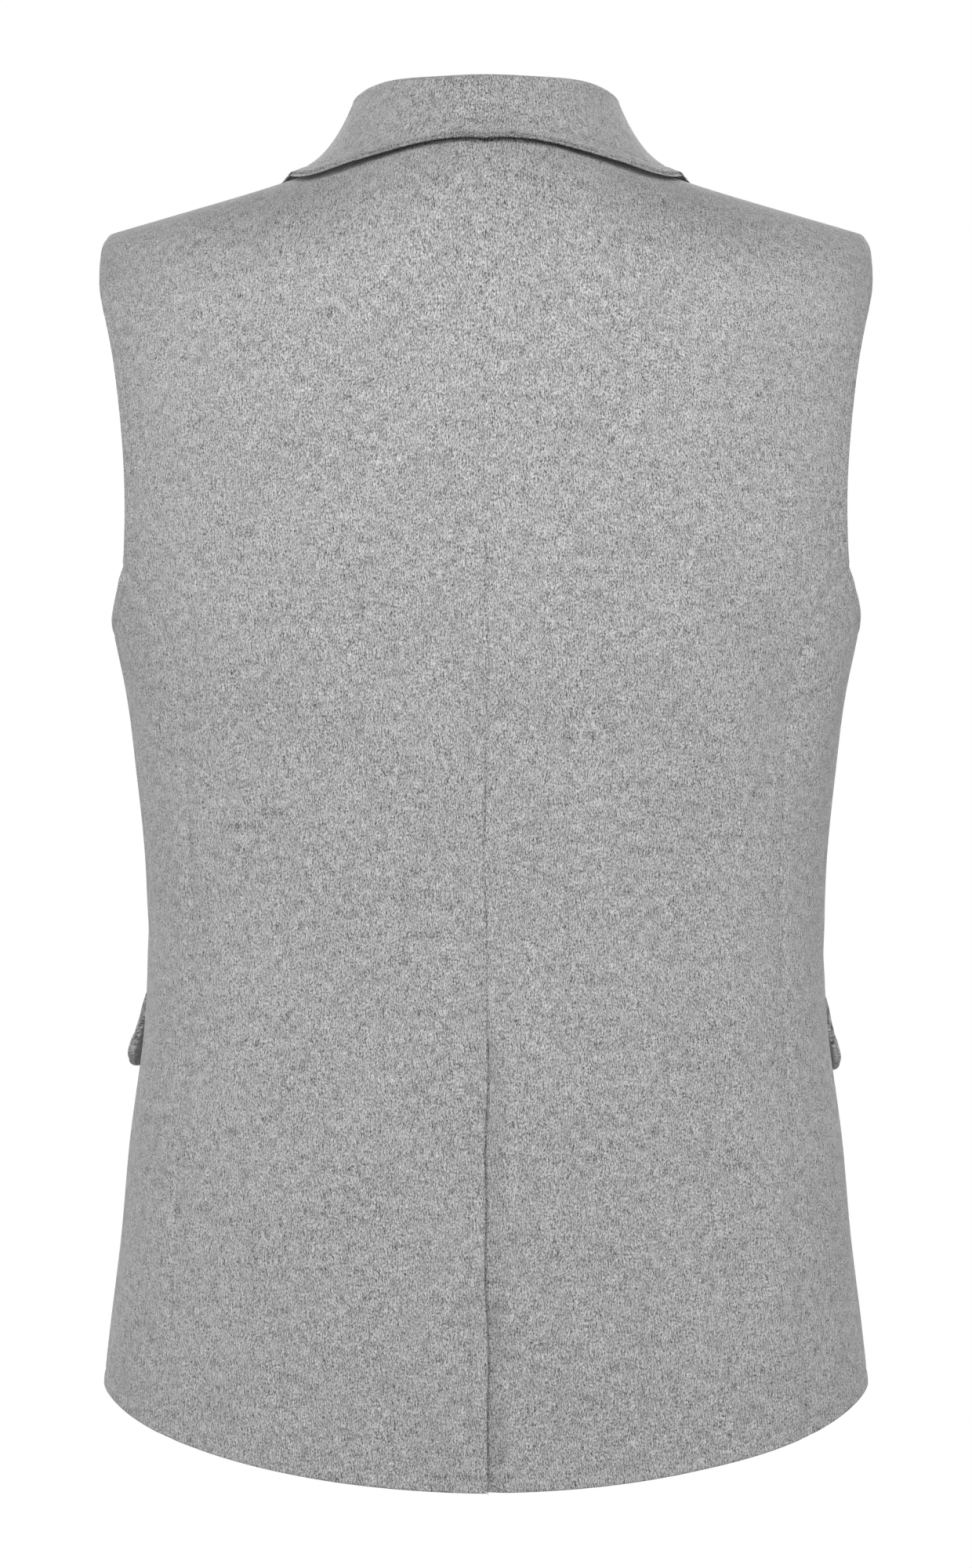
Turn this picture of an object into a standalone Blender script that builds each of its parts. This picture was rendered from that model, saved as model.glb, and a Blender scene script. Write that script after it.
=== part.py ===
# A sleeveless tailored jacket of double-faced wool, filled out and hollow as if worn: two backs with a
# centre vent, side bodies, fronts closed left over right on two buttons, a turned collar, turned lapels
# and flapped hip pockets.
#
# Metres, +Z up. The wearer faces -Y, so the wearer's left is +X. The origin is on the centre plane, level
# with the points where the shoulder seams meet the neck.
#
# Every cloth piece lies on one wall round the body. A place on the wall has two coordinates: share, which
# runs round the body from 0 at the centre back to 1 at the centre front (below 0 or above 1 it has
# crossed the centre line), and run, the distance along the wall from the shoulder line, over the roof of
# the shoulder and then straight down. "Down" is the level below the origin that goes with a run. Pieces
# are drawn for the left side; the right is a mirror.

import math

import bmesh
import bpy
import numpy as np
from mathutils import Vector

# Cloth and seams
cloth = 0.0026
seam_gap = 0.0003
lap_step = cloth + 0.0006

# Shoulders and neck
neck_half = 0.070
nape_run = 0.0674
nape_rise = 0.021
nape_spread = 0.0665
shoulder_slope = 0.2848
slope_start = 0.066
shoulder_ease = 0.030
tip_start = 0.2108
tip_width = 0.0069
tip_fall = 0.0183
slope_fade = 0.26
roof_run = 0.090
roof_power = 2.6
shoulder_back_run = 0.0002
shoulder_front_run = 0.0020
back_roof = {"height": 0.10, "square": 2.6}
front_roof = {"height": 0.15, "square": 1.8}

# Centre back vent: the left side laps over the right, which steps in beside the seam
vent_top = 0.497
vent_underlap = 0.030
vent_underlap_levels = (vent_top + 0.001, vent_top + 0.010)
vent_step_levels = (vent_top - 0.011, vent_top)
vent_step_end = 0.0008
vent_step_start = 0.013
vent_step_flare = 0.005
vent_flare_height = 0.030
vent_spring = 0.0018
vent_spring_reach = 0.030

# Fronts: the left laps over the right, which steps in under it
front_lap = 0.020
break_down = 0.335
gorge_down = 0.062
roll_bow = 0.94
lap_step_end = front_lap + 0.0008
lap_step_start = front_lap + 0.016
lap_step_in = {"end": 0.004, "start": 0.018}
lap_step_levels = (0.195, 0.225)

# Hem levels below the origin, and the rounded lower corners of the fronts
hem_centre_back = 0.7357
hem_side = 0.6879
hem_centre_front = 0.7105
hem_bow = {"wide": 0.784, "corner": 0.216}
hem_corner = {"width": 0.045, "height": 0.0414}

# Collar and lapels; side is 1 on the left and -1 on the right
roll_radius = 0.0030
roll_steps = 6
collar_hollow = 2.25
collar_steps = 6
collar_stand_lean = 0.0022
collar_foot_part = 0.12
lapel_end_down = {1: 0.331, -1: 0.287}
lapel_flat_levels = {1: (0.329, 0.311), -1: (0.240, 0.224)}
lapel_clear = 0.0084
lapel_hollow = 2.2
lapel_steps = 6
lapel_least = 0.002
lapel_gap = 0.0006
lapel_lift = 0.0009

# Pocket flaps
flap_top = 0.466
flap_height = 0.044
flap_length = 0.150
flap_rear = 0.1893
flap_spring = {1: 0.0074, -1: 0.0052}
flap_spring_power = 1.15
flap_cloth = 0.0040
flap_corner = 0.012

# Buttons
button_radius = 0.0115
button_thickness = 0.0040
button_levels = {"upper": 0.345, "lower": 0.447}

# Horizontal sections of the wall: a row for each level
sections = [
    # down, half_width, back_depth, front_depth, back_square, front_square
    (0.000, 0.2177, 0.0880, 0.1000, 2.50, 2.30),
    (0.060, 0.2176, 0.0980, 0.1110, 2.50, 2.30),
    (0.120, 0.2172, 0.1065, 0.1195, 2.50, 2.30),
    (0.180, 0.2160, 0.1115, 0.1250, 2.50, 2.30),
    (0.230, 0.2140, 0.1130, 0.1265, 2.48, 2.30),
    (0.262, 0.2104, 0.1120, 0.1258, 2.45, 2.30),
    (0.293, 0.2040, 0.1095, 0.1235, 2.42, 2.28),
    (0.340, 0.1976, 0.1045, 0.1190, 2.38, 2.26),
    (0.390, 0.1925, 0.0995, 0.1150, 2.35, 2.25),
    (0.440, 0.1909, 0.0975, 0.1130, 2.35, 2.25),
    (0.490, 0.1930, 0.1000, 0.1135, 2.38, 2.26),
    (0.545, 0.2003, 0.1055, 0.1160, 2.42, 2.28),
    (0.600, 0.2052, 0.1095, 0.1185, 2.45, 2.30),
    (0.650, 0.2112, 0.1125, 0.1205, 2.45, 2.30),
    (0.690, 0.2155, 0.1140, 0.1220, 2.45, 2.30),
    (0.760, 0.2190, 0.1150, 0.1230, 2.45, 2.30),
]

# Armhole edge, as the distance from the centre plane on the back and on the front
armhole = [
    # down, back_x, front_x
    (0.0000, 0.2168, 0.2168),
    (0.0200, 0.2171, 0.2166),
    (0.0360, 0.2167, 0.2145),
    (0.0630, 0.2138, 0.2085),
    (0.0900, 0.2094, 0.2030),
    (0.1200, 0.2056, 0.1985),
    (0.1500, 0.2028, 0.1950),
    (0.1870, 0.2010, 0.1932),
    (0.2140, 0.2014, 0.1945),
    (0.2300, 0.2028, 0.1975),
    (0.2430, 0.2062, 0.2035),
    (0.2550, 0.2108, 0.2100),
]
armhole_bottom = 0.2570
armhole_foot_power = 2.6
back_seam_top = 0.2290
front_seam_top = 0.2330
slant_levels = (0.270, 0.245)
slant_widening = 1.7

# Seams of the side body, as the distance from the centre plane
back_seam = [
    # down, x
    (0.229, 0.2027),
    (0.237, 0.1950),
    (0.248, 0.1882),
    (0.268, 0.1790),
    (0.288, 0.1722),
    (0.315, 0.1685),
    (0.355, 0.1660),
    (0.420, 0.1625),
    (0.500, 0.1660),
    (0.600, 0.1720),
    (0.760, 0.1790),
]
front_seam = [
    # down, x
    (0.233, 0.1985),
    (0.260, 0.1955),
    (0.310, 0.1855),
    (0.360, 0.1775),
    (0.440, 0.1735),
    (0.520, 0.1790),
    (0.600, 0.1860),
    (0.760, 0.1960),
]

# Lapel edge from its point to the break, as the distance from the centre plane
lapel_edge = [
    # down, x
    (0.108, 0.1262),
    (0.140, 0.1128),
    (0.180, 0.0915),
    (0.220, 0.0670),
    (0.260, 0.0400),
    (0.300, 0.0105),
    (0.335, -0.0150),
]

# Collar sections, from the centre back (turn 0) past the shoulder seam (1) to the lapel (2). The neck
# seam is at neck_run and the fall's free edge at edge_x and edge_run; a run is negative behind the
# shoulder line. Rise is the roll's height over the neck seam.
collar_sections = [
    # turn, neck_run, edge_x, edge_run, rise
    (0.00, -0.0674, 0.0000, -0.0762, 0.0296),
    (0.25, -0.0623, 0.0380, -0.0704, 0.0305),
    (0.50, -0.0477, 0.0720, -0.0539, 0.0325),
    (0.75, -0.0258, 0.0975, -0.0292, 0.0330),
    (1.00, 0.0000, 0.1110, 0.0000, 0.0330),
    (1.25, 0.0360, 0.1180, 0.0360, 0.0290),
    (1.50, 0.0663, 0.1200, 0.0673, 0.0210),
    (1.75, 0.0910, 0.1150, 0.0955, 0.0110),
    (2.00, 0.1174, 0.0930, 0.1374, 0.0033),
]
collar_point = 1.88

# Soft folds and hollows of the cloth: where each lies, its tilt from upright, half sizes and height off
# the wall
folds = [
    # side, share, down, tilt, half_length, half_width, height
    (-1, 0.335, 0.300, 0.10, 0.060, 0.018, -0.0024),
    (-1, 0.415, 0.295, -0.15, 0.050, 0.016, 0.0014),
    (1, 0.345, 0.310, 0.05, 0.060, 0.020, -0.0014),
    (1, 0.250, 0.440, -0.25, 0.070, 0.022, -0.0012),
    (-1, 0.210, 0.440, 0.20, 0.080, 0.024, -0.0018),
    (-1, 0.120, 0.600, 0.05, 0.090, 0.024, 0.0016),
    (1, 0.170, 0.620, -0.10, 0.100, 0.026, 0.0020),
    (1, 0.300, 0.660, 0.05, 0.080, 0.022, -0.0018),
    (-1, 0.290, 0.650, -0.05, 0.090, 0.024, 0.0018),
    (1, 0.560, 0.650, 0.00, 0.070, 0.022, 0.0016),
    (-1, 0.560, 0.640, 0.05, 0.070, 0.022, 0.0016),
    (1, 0.880, 0.375, 0.95, 0.050, 0.012, 0.0014),
    (-1, 0.860, 0.380, -1.00, 0.050, 0.012, 0.0013),
    (1, 0.850, 0.290, -0.70, 0.050, 0.014, -0.0012),
    (-1, 0.840, 0.300, 0.70, 0.050, 0.014, -0.0011),
]

# Levels of the grid rows down the centre back, and above the armhole's foot on the front
back_levels = [
    0.0004, 0.0020, 0.0058, 0.0110, 0.0162, 0.0270, 0.0420, 0.060, 0.080, 0.100, 0.120, 0.140, 0.160,
    0.180, 0.198, 0.214, 0.228, 0.236, 0.243, 0.250, 0.258, 0.267, 0.276, 0.286, 0.298, 0.314, 0.335,
    0.360, 0.387, 0.415, 0.442, 0.466, 0.485, 0.4975, 0.508, 0.527, 0.552, 0.578, 0.604, 0.632, 0.660,
    0.688, 0.714,
]
front_levels = [
    0.0006, 0.0030, 0.0080, 0.0160, 0.0280, 0.0420, 0.060, 0.080, 0.100, 0.120, 0.140, 0.160, 0.178,
    0.194, 0.210, 0.224,
]
least_row = 0.004
settle_rounds = 25
drift_power = 8


def column(table, index):
    return np.array([row[index] for row in table])


def spline(knots, values):
    # A natural cubic spline through the points, level beyond its ends.
    steps = np.diff(knots)
    slopes = np.diff(values) / steps
    count = len(knots)
    matrix = np.eye(count)
    right = np.zeros(count)
    for i in range(1, count - 1):
        matrix[i, i - 1 : i + 2] = steps[i - 1], 2 * (steps[i - 1] + steps[i]), steps[i]
        right[i] = 6 * (slopes[i] - slopes[i - 1])
    bends = np.linalg.solve(matrix, right)

    def value(at):
        at = np.clip(at, knots[0], knots[-1])
        i = np.clip(np.searchsorted(knots, at, side="right") - 1, 0, count - 2)
        step = steps[i]
        after = (at - knots[i]) / step
        before = 1 - after
        bend = (before**3 - before) * bends[i] + (after**3 - after) * bends[i + 1]
        return before * values[i] + after * values[i + 1] + bend * step**2 / 6

    return value


def table_curve(table, index):
    return spline(column(table, 0), column(table, index))


half_width = table_curve(sections, 1)
back_depth = table_curve(sections, 2)
front_depth = table_curve(sections, 3)
back_square = table_curve(sections, 4)
front_square = table_curve(sections, 5)


def ease(value, start, end):
    # 0 at start, 1 at end, level at both.
    t = np.clip((value - start) / (end - start), 0, 1)
    return t * t * (3 - 2 * t)


def down_at(run):
    # The roof starts level and turns down evenly until it drops a metre for each metre of run.
    curved = roof_run / roof_power * (np.clip(run, 0, roof_run) / roof_run) ** roof_power
    return curved + np.maximum(run - roof_run, 0)


def run_at(down):
    roof_down = roof_run / roof_power
    curved = roof_run * (np.clip(down, 0, roof_down) / roof_down) ** (1 / roof_power)
    return curved + np.maximum(down - roof_down, 0)


def shoulder_drop(x):
    # How far the shoulder line lies below the origin, at a distance x from the centre plane.
    sloped = np.sqrt(x**2 + shoulder_ease**2) - math.hypot(slope_start, shoulder_ease)
    tip = np.clip((np.abs(x) - tip_start) / tip_width, 0, 1)
    rounded = tip_fall * (1 - np.sqrt(1 - tip**2))
    return shoulder_slope * sloped + rounded - nape_rise * np.exp(-((x / nape_spread) ** 2))


def roof_share(down, roof):
    # The part of the full depth that the wall has reached at this level of the shoulder's roof.
    rest = np.clip(1 - down / roof["height"], 0, 1)
    return (1 - rest ** roof["square"]) ** (1 / roof["square"])


def wall_point(angle, run):
    # The wall's point at an angle round the body, from 0 at the centre back to pi at the centre front.
    down = down_at(run)
    behind = np.cos(angle) > 0
    square = np.where(behind, back_square(down), front_square(down))
    depth_back = back_depth(down) * roof_share(down, back_roof)
    depth_front = front_depth(down) * roof_share(down, front_roof)
    depth = np.where(behind, depth_back, -depth_front)
    x = half_width(down) * np.sign(np.sin(angle)) * np.abs(np.sin(angle)) ** (2 / square)
    y = depth * np.abs(np.cos(angle)) ** (2 / square)
    fade = np.clip(1 - down / slope_fade, 0, 1) ** 2
    return np.stack([x, y, -down - shoulder_drop(x) * fade], axis=-1)


# Girth tables: the wall's half girth at each run, and the share of it reached at each angle. A normal is
# measured over twice the probe.
probe = 0.0012
table_runs = np.linspace(0, 0.85, 426)
table_angles = np.linspace(0, math.pi, 721)
table_shares = np.linspace(0, 1, 721)
ring_points = wall_point(*np.meshgrid(table_angles, table_runs))
ring_steps = np.linalg.norm(np.diff(ring_points, axis=1), axis=2)
ring_girths = np.concatenate([np.zeros((len(table_runs), 1)), np.cumsum(ring_steps, axis=1)], axis=1)
half_girths = ring_girths[:, -1]
share_table = ring_girths / half_girths[:, None]
angle_table = np.array([np.interp(table_shares, row, table_angles) for row in share_table])


def half_girth(run):
    return np.interp(run, table_runs, half_girths)


def look_up(table, run, place):
    # Bilinear reading of a table by run and by a place from 0 to 1 along its row.
    row = np.clip(run / table_runs[-1], 0, 1) * (table.shape[0] - 1)
    across = np.clip(place, 0, 1) * (table.shape[1] - 1)
    i = np.minimum(row.astype(int), table.shape[0] - 2)
    j = np.minimum(across.astype(int), table.shape[1] - 2)
    s = row - i
    t = across - j
    near = table[i, j] * (1 - t) + table[i, j + 1] * t
    far = table[i + 1, j] * (1 - t) + table[i + 1, j + 1] * t
    return near * (1 - s) + far * s


def body_point(share, run):
    share, run = np.broadcast_arrays(np.asarray(share, float), np.asarray(run, float))
    folded = np.where(share > 1, share - 2, share)
    angle = look_up(angle_table, run, np.abs(folded)) * np.sign(folded + 1e-12)
    return wall_point(angle, run)


def body_normal(share, run):
    turn = probe / half_girth(run)
    along = body_point(share + turn, run) - body_point(share - turn, run)
    down = body_point(share, run + probe) - body_point(share, np.maximum(run - probe, 0))
    normal = np.cross(along, down)
    return normal / np.linalg.norm(normal, axis=-1, keepdims=True)


def share_at(x, run, front):
    # The share at which the wall is x from the centre plane; a negative x lies past the centre line.
    down = down_at(run)
    square = front_square(down) if front else back_square(down)
    angle = np.arcsin(np.clip(np.abs(x) / half_width(down), 0, 1) ** (square / 2))
    if front:
        share = look_up(share_table, run, 1 - angle / math.pi)
        return np.where(x >= 0, share, 2 - share)
    return look_up(share_table, run, angle / math.pi) * np.sign(x)


def fold_height(share, run, side):
    height = np.zeros(np.broadcast(share, run).shape)
    for fold_side, fold_share, down, tilt, half_length, width, rise in folds:
        if fold_side == side:
            across = (share - fold_share) * half_girth(run)
            along = down_at(run) - down
            over = across * math.cos(tilt) - along * math.sin(tilt)
            up = across * math.sin(tilt) + along * math.cos(tilt)
            height += rise * np.exp(-((over / width) ** 2) - (up / half_length) ** 2)
    return height


def vent_height(share, run, side):
    # The right back steps in under the left below the vent's top, and the left stands off it towards the
    # hem.
    across = share * half_girth(run)
    down = down_at(run)
    if side < 0:
        return -lap_step * ease(across, vent_step_start, vent_step_end) * ease(down, *vent_step_levels)
    lift = vent_spring * ease(down, vent_top, hem_centre_back)
    return lift * np.exp(-((across / vent_spring_reach) ** 2))


def lap_height(share, run, side):
    # The right front steps in under the left's edge.
    if side > 0:
        return 0 * share
    across = (1 - share) * half_girth(run)
    return -lap_step * ease(across, lap_step_start, lap_step_end) * ease(down_at(run), *lap_step_levels)


def cloth_height(share, run, side):
    behind = vent_height(share, run, side)
    ahead = lap_height(share, run, side)
    return fold_height(share, run, side) + np.where(np.abs(share) < 0.5, behind, ahead)


def placed(share, run, side, height=0.0):
    # A point of one side's cloth, raised off its outer face, in the part's frame.
    lift = cloth_height(share, run, side) + height
    point = body_point(share, run) + body_normal(share, run) * np.asarray(lift)[..., None]
    return point * np.array([side, 1, 1])


def hem_down(share, run):
    x = body_point(share, run)[..., 0]
    part = np.clip(np.abs(x) / half_width(down_at(run)), 0, 1)
    rise = hem_bow["wide"] * part**2 + hem_bow["corner"] * part**10
    back = hem_centre_back - (hem_centre_back - hem_side) * rise
    front = hem_side + (hem_centre_front - hem_side) * (1 - part**2)
    inside = np.clip(((1 - share) * half_girth(run) + front_lap) / hem_corner["width"], 0, 1)
    corner = hem_corner["height"] * (1 - np.sqrt(1 - (1 - inside) ** 2))
    return np.where(np.abs(share) < 0.5, back, front - corner)


def neckline_x(run):
    # The neckline of the back, a quarter of an ellipse from the shoulder line to the nape.
    return neck_half * np.sqrt(np.clip(1 - (run / nape_run) ** 2, 0, 1))


def roll_x(down):
    # The roll line of the front and lapel, from the neck to the front edge at the break.
    return neck_half - (neck_half + front_lap) * np.clip(down / break_down, 0, 1) ** roll_bow


# Edges of the panels, each giving the share for a run


def half_seam(run):
    return seam_gap / 2 / half_girth(run)


def centre_back_edge(run):
    neck = share_at(np.maximum(neckline_x(run), 1e-5), run, False)
    return np.where(run < nape_run, neck, half_seam(run))


def vent_edge(run):
    under = (vent_underlap + seam_gap) * ease(down_at(run), *vent_underlap_levels)
    return centre_back_edge(run) - under / half_girth(run)


def vent_step_edge(run):
    away = vent_step_end + vent_step_flare * ease(down_at(run), vent_top, vent_top - vent_flare_height)
    return centre_back_edge(run) + away / half_girth(run)


def vent_step_start_edge(run):
    return centre_back_edge(run) + vent_step_start / half_girth(run)


def half_slanted_seam(run):
    # Half the gap of the side body's rear seam, wider where the seam slants towards the armhole.
    return half_seam(run) * (1 + slant_widening * ease(down_at(run), *slant_levels))


def back_outer_edge(run):
    down = down_at(run)
    hole = share_at(table_curve(armhole, 1)(down), run, False)
    seam = share_at(table_curve(back_seam, 1)(down), run, False)
    return np.where(down < back_seam_top, hole, seam) - half_slanted_seam(run)


def side_back_edge(run):
    return share_at(table_curve(back_seam, 1)(down_at(run)), run, False) + half_slanted_seam(run)


def side_front_edge(run):
    return share_at(table_curve(front_seam, 1)(down_at(run)), run, True) - half_seam(run)


def front_outer_edge(run):
    down = down_at(run)
    hole = share_at(table_curve(armhole, 2)(down), run, True)
    seam = share_at(table_curve(front_seam, 1)(down), run, True)
    return np.where(down < front_seam_top, hole, seam) + half_seam(run)


def front_inner_edge(run):
    return share_at(roll_x(down_at(run)), run, True)


def lap_step_edge(run):
    return share_at(np.maximum(lap_step_end, roll_x(down_at(run)) + lap_step_in["end"]), run, True)


def lap_step_start_edge(run):
    return share_at(np.maximum(lap_step_start, roll_x(down_at(run)) + lap_step_in["start"]), run, True)


def armhole_foot(columns):
    # The armhole's foot across the side body: the run of each column's top, and how far its share there
    # lies from an even place between the two seams at that run.
    t = 2 * columns - 1
    ends = np.where(t < 0, back_seam_top, front_seam_top)
    run = run_at(armhole_bottom - (armhole_bottom - ends) * np.abs(t) ** armhole_foot_power)
    first = side_back_edge(run_at(np.array(back_seam_top)))
    last = side_front_edge(run_at(np.array(front_seam_top)))
    even = side_back_edge(run) + (side_front_edge(run) - side_back_edge(run)) * columns
    return run, first + (last - first) * columns - even


def panel_grid(lines, top, rows, columns, drift=0.0):
    # Shares and runs of a panel's grid: rows from its top runs to the hem, columns across its lines from
    # edge to edge. A column's whole part is the line that it follows, and the rest is its place on the
    # way to the next. Drift moves the columns sideways at their tops only. The rounds settle the shares
    # and the hem, which depend on each other.
    down_part = np.array(rows)[:, None]
    run = down_part * run_at(hem_side) + np.zeros((1, len(columns)))
    line = np.minimum(np.floor(columns).astype(int), len(lines) - 2)
    beyond = np.array(columns) - line
    first = line[None, None, :] + np.zeros((1, *run.shape), int)
    for _ in range(settle_rounds):
        places = np.array([edge(run) for edge in lines])
        from_line = np.take_along_axis(places, first, axis=0)[0]
        to_line = np.take_along_axis(places, first + 1, axis=0)[0]
        share = from_line + (to_line - from_line) * beyond + drift * (1 - down_part) ** drift_power
        hem = run_at(hem_down(share, run))
        run = top + (hem - top) * down_part
    return share, run


def hem_run_on(edge):
    run = run_at(np.array(hem_side))
    for _ in range(settle_rounds):
        run = run_at(hem_down(edge(run), run))
    return float(run)


def row_parts():
    # Each panel's rows as parts of its height. The rows meet at the seams: the side's rows are those of
    # the back below the armhole, and the front's go on from the side's.
    back_rows = run_at(np.array([0, *back_levels, hem_centre_back])) / run_at(hem_centre_back)
    back_hem, back_top = hem_run_on(back_outer_edge), float(run_at(back_seam_top))
    front_hem, front_top = hem_run_on(front_outer_edge), float(run_at(front_seam_top))
    split = back_top / back_hem
    above = back_rows[back_rows < split - least_row]
    back_rows = np.concatenate([above, [split], back_rows[back_rows > split + least_row]])
    side_rows = (back_rows[back_rows >= split] * back_hem - back_top) / (back_hem - back_top)
    low_rows = (front_top + (front_hem - front_top) * side_rows) / front_hem
    front_rows = np.concatenate([[0], run_at(np.array(front_levels)) / front_hem, low_rows])
    return back_rows, side_rows, front_rows


def crowded(count, power):
    # Even steps, drawn together towards the last.
    return 1 - (1 - np.linspace(0, 1, count + 1)) ** power


# Solids


def material(name, colour, roughness, sheen=0.0):
    made = bpy.data.materials.new(name)
    made.use_nodes = True
    shader = made.node_tree.nodes["Principled BSDF"]
    shader.inputs["Base Color"].default_value = (*colour, 1)
    shader.inputs["Roughness"].default_value = roughness
    shader.inputs["Metallic"].default_value = 0
    shader.inputs["Sheen Weight"].default_value = sheen
    return made


def add_object(name, mesh, finish):
    mesh.materials.append(finish)
    made = bpy.data.objects.new(name, mesh)
    bpy.context.scene.collection.objects.link(made)
    mesh.shade_smooth()
    mesh.set_sharp_from_angle(angle=math.radians(40))
    return made


def wall(name, outer, inner, finish):
    # One closed solid between two grids of the same size.
    rows, columns = outer.shape[:2]
    shape = bmesh.new()
    grids = []
    for grid in (outer, inner):
        points = [shape.verts.new(Vector(p)) for p in grid.reshape(-1, 3)]
        grids.append(points)
        for i in range(rows - 1):
            for j in range(columns - 1):
                k = i * columns + j
                shape.faces.new([points[k], points[k + 1], points[k + columns + 1], points[k + columns]])
    across = [(i, i + 1) for i in range(columns - 1)]
    rim = across + [(a + (rows - 1) * columns, b + (rows - 1) * columns) for a, b in across]
    along = [(i * columns, (i + 1) * columns) for i in range(rows - 1)]
    rim += along + [(a + columns - 1, b + columns - 1) for a, b in along]
    for a, b in rim:
        shape.faces.new([grids[0][a], grids[0][b], grids[1][b], grids[1][a]])
    bmesh.ops.recalc_face_normals(shape, faces=shape.faces)
    mesh = bpy.data.meshes.new(name)
    shape.to_mesh(mesh)
    shape.free()
    return add_object(name, mesh, finish)


def grid_normals(grid):
    along = np.gradient(grid, axis=0)
    across = np.gradient(grid, axis=1)
    normal = np.cross(across, along)
    return normal / np.linalg.norm(normal, axis=-1, keepdims=True)


def sheet(name, middle, finish):
    # A wall of one cloth thickness on both sides of its middle grid.
    offset = grid_normals(middle) * cloth / 2
    return wall(name, middle + offset, middle - offset, finish)


def panel(name, side, grid, finish):
    share, run = grid
    return wall(name, placed(share, run, side), placed(share, run, side, -cloth), finish)


def back(name, side, finish):
    rows = row_parts()[0]
    if side > 0:
        lines = [centre_back_edge, back_outer_edge]
        columns = crowded(11, 1.35)
    else:
        lines = [vent_edge, vent_step_edge, vent_step_start_edge, back_outer_edge]
        columns = np.concatenate([[0, 0.5, 1, 1.5], 2 + crowded(10, 1.35)])
    return panel(name, side, panel_grid(lines, shoulder_back_run, rows, columns), finish)


def side_body(name, side, finish):
    rows = row_parts()[1]
    columns = np.linspace(0, 1, 9)
    top, drift = armhole_foot(columns)
    grid = panel_grid([side_back_edge, side_front_edge], top, rows, columns, drift)
    return panel(name, side, grid, finish)


def front(name, side, finish):
    rows = row_parts()[2]
    if side > 0:
        lines = [front_outer_edge, front_inner_edge]
        columns = 1 - crowded(11, 1.35)[::-1]
    else:
        lines = [front_outer_edge, lap_step_start_edge, lap_step_edge, front_inner_edge]
        columns = np.concatenate([1 - crowded(9, 1.35)[::-1], [1.5, 2, 2.5, 3]])
    return panel(name, side, panel_grid(lines, shoulder_front_run, rows, columns), finish)


def rolled_section(width, rolled):
    # The middle line of a lapel's section, as distance over the panel and height off it. It goes from the
    # edge that butts on the panel round the roll and out over the panel; where it isn't rolled it only
    # lies on the panel.
    rest = lapel_lift + cloth / 2
    top = rest + (2 * roll_radius - cloth / 2 - rest) * rolled
    places = []
    for i in range(roll_steps):
        turn = math.pi * i / roll_steps
        over = -lapel_gap - roll_radius * math.sin(turn)
        height = roll_radius - cloth / 2 - roll_radius * math.cos(turn)
        flat_over = -4 * lapel_gap * (1 - i / roll_steps)
        places.append((over * rolled + flat_over * (1 - rolled), height * rolled + rest * (1 - rolled)))
    for i in range(lapel_steps + 1):
        part = i / lapel_steps
        places.append((width * part, rest + (top - rest) * (1 - part) ** lapel_hollow))
    return np.array(places)


def lapel_row(part, side):
    # One section of a lapel, from its lower end (part 0) to the collar (1), level on the roll and falling
    # outwards. The right one stops short of the left's roll, under which it would pass.
    low = lapel_end_down[side]
    down = low + (gorge_down + lapel_gap - low) * part
    edge_down = low + (lapel_edge[0][0] - low) * part
    own = float(roll_x(down))
    inner = own if side > 0 else max(own, lapel_clear - own)
    width = max(float(table_curve(lapel_edge, 1)(edge_down)) - inner, lapel_least)
    section = rolled_section(width, float(ease(down, *lapel_flat_levels[side])))
    over = section[:, 0]
    run = run_at(down + (edge_down - down) * np.maximum(over, 0) / width)
    share = share_at(np.array(inner), run, True) - over / half_girth(run)
    return placed(share, run, side, section[:, 1])


def lapel(name, side, finish):
    rows = [lapel_row(part, side) for part in np.linspace(0, 1, 21)]
    return sheet(name, np.array(rows), finish)


def signed_surface(x, run):
    # A point and normal of the wall by its distance x from the centre plane; a negative run lies behind
    # the shoulder.
    at = abs(run)
    share = share_at(np.array(x), np.array(at), run > 0)
    return body_point(share, np.array(at)), body_normal(share, np.array(at))


def unit(vector):
    return vector / np.linalg.norm(vector)


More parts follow.
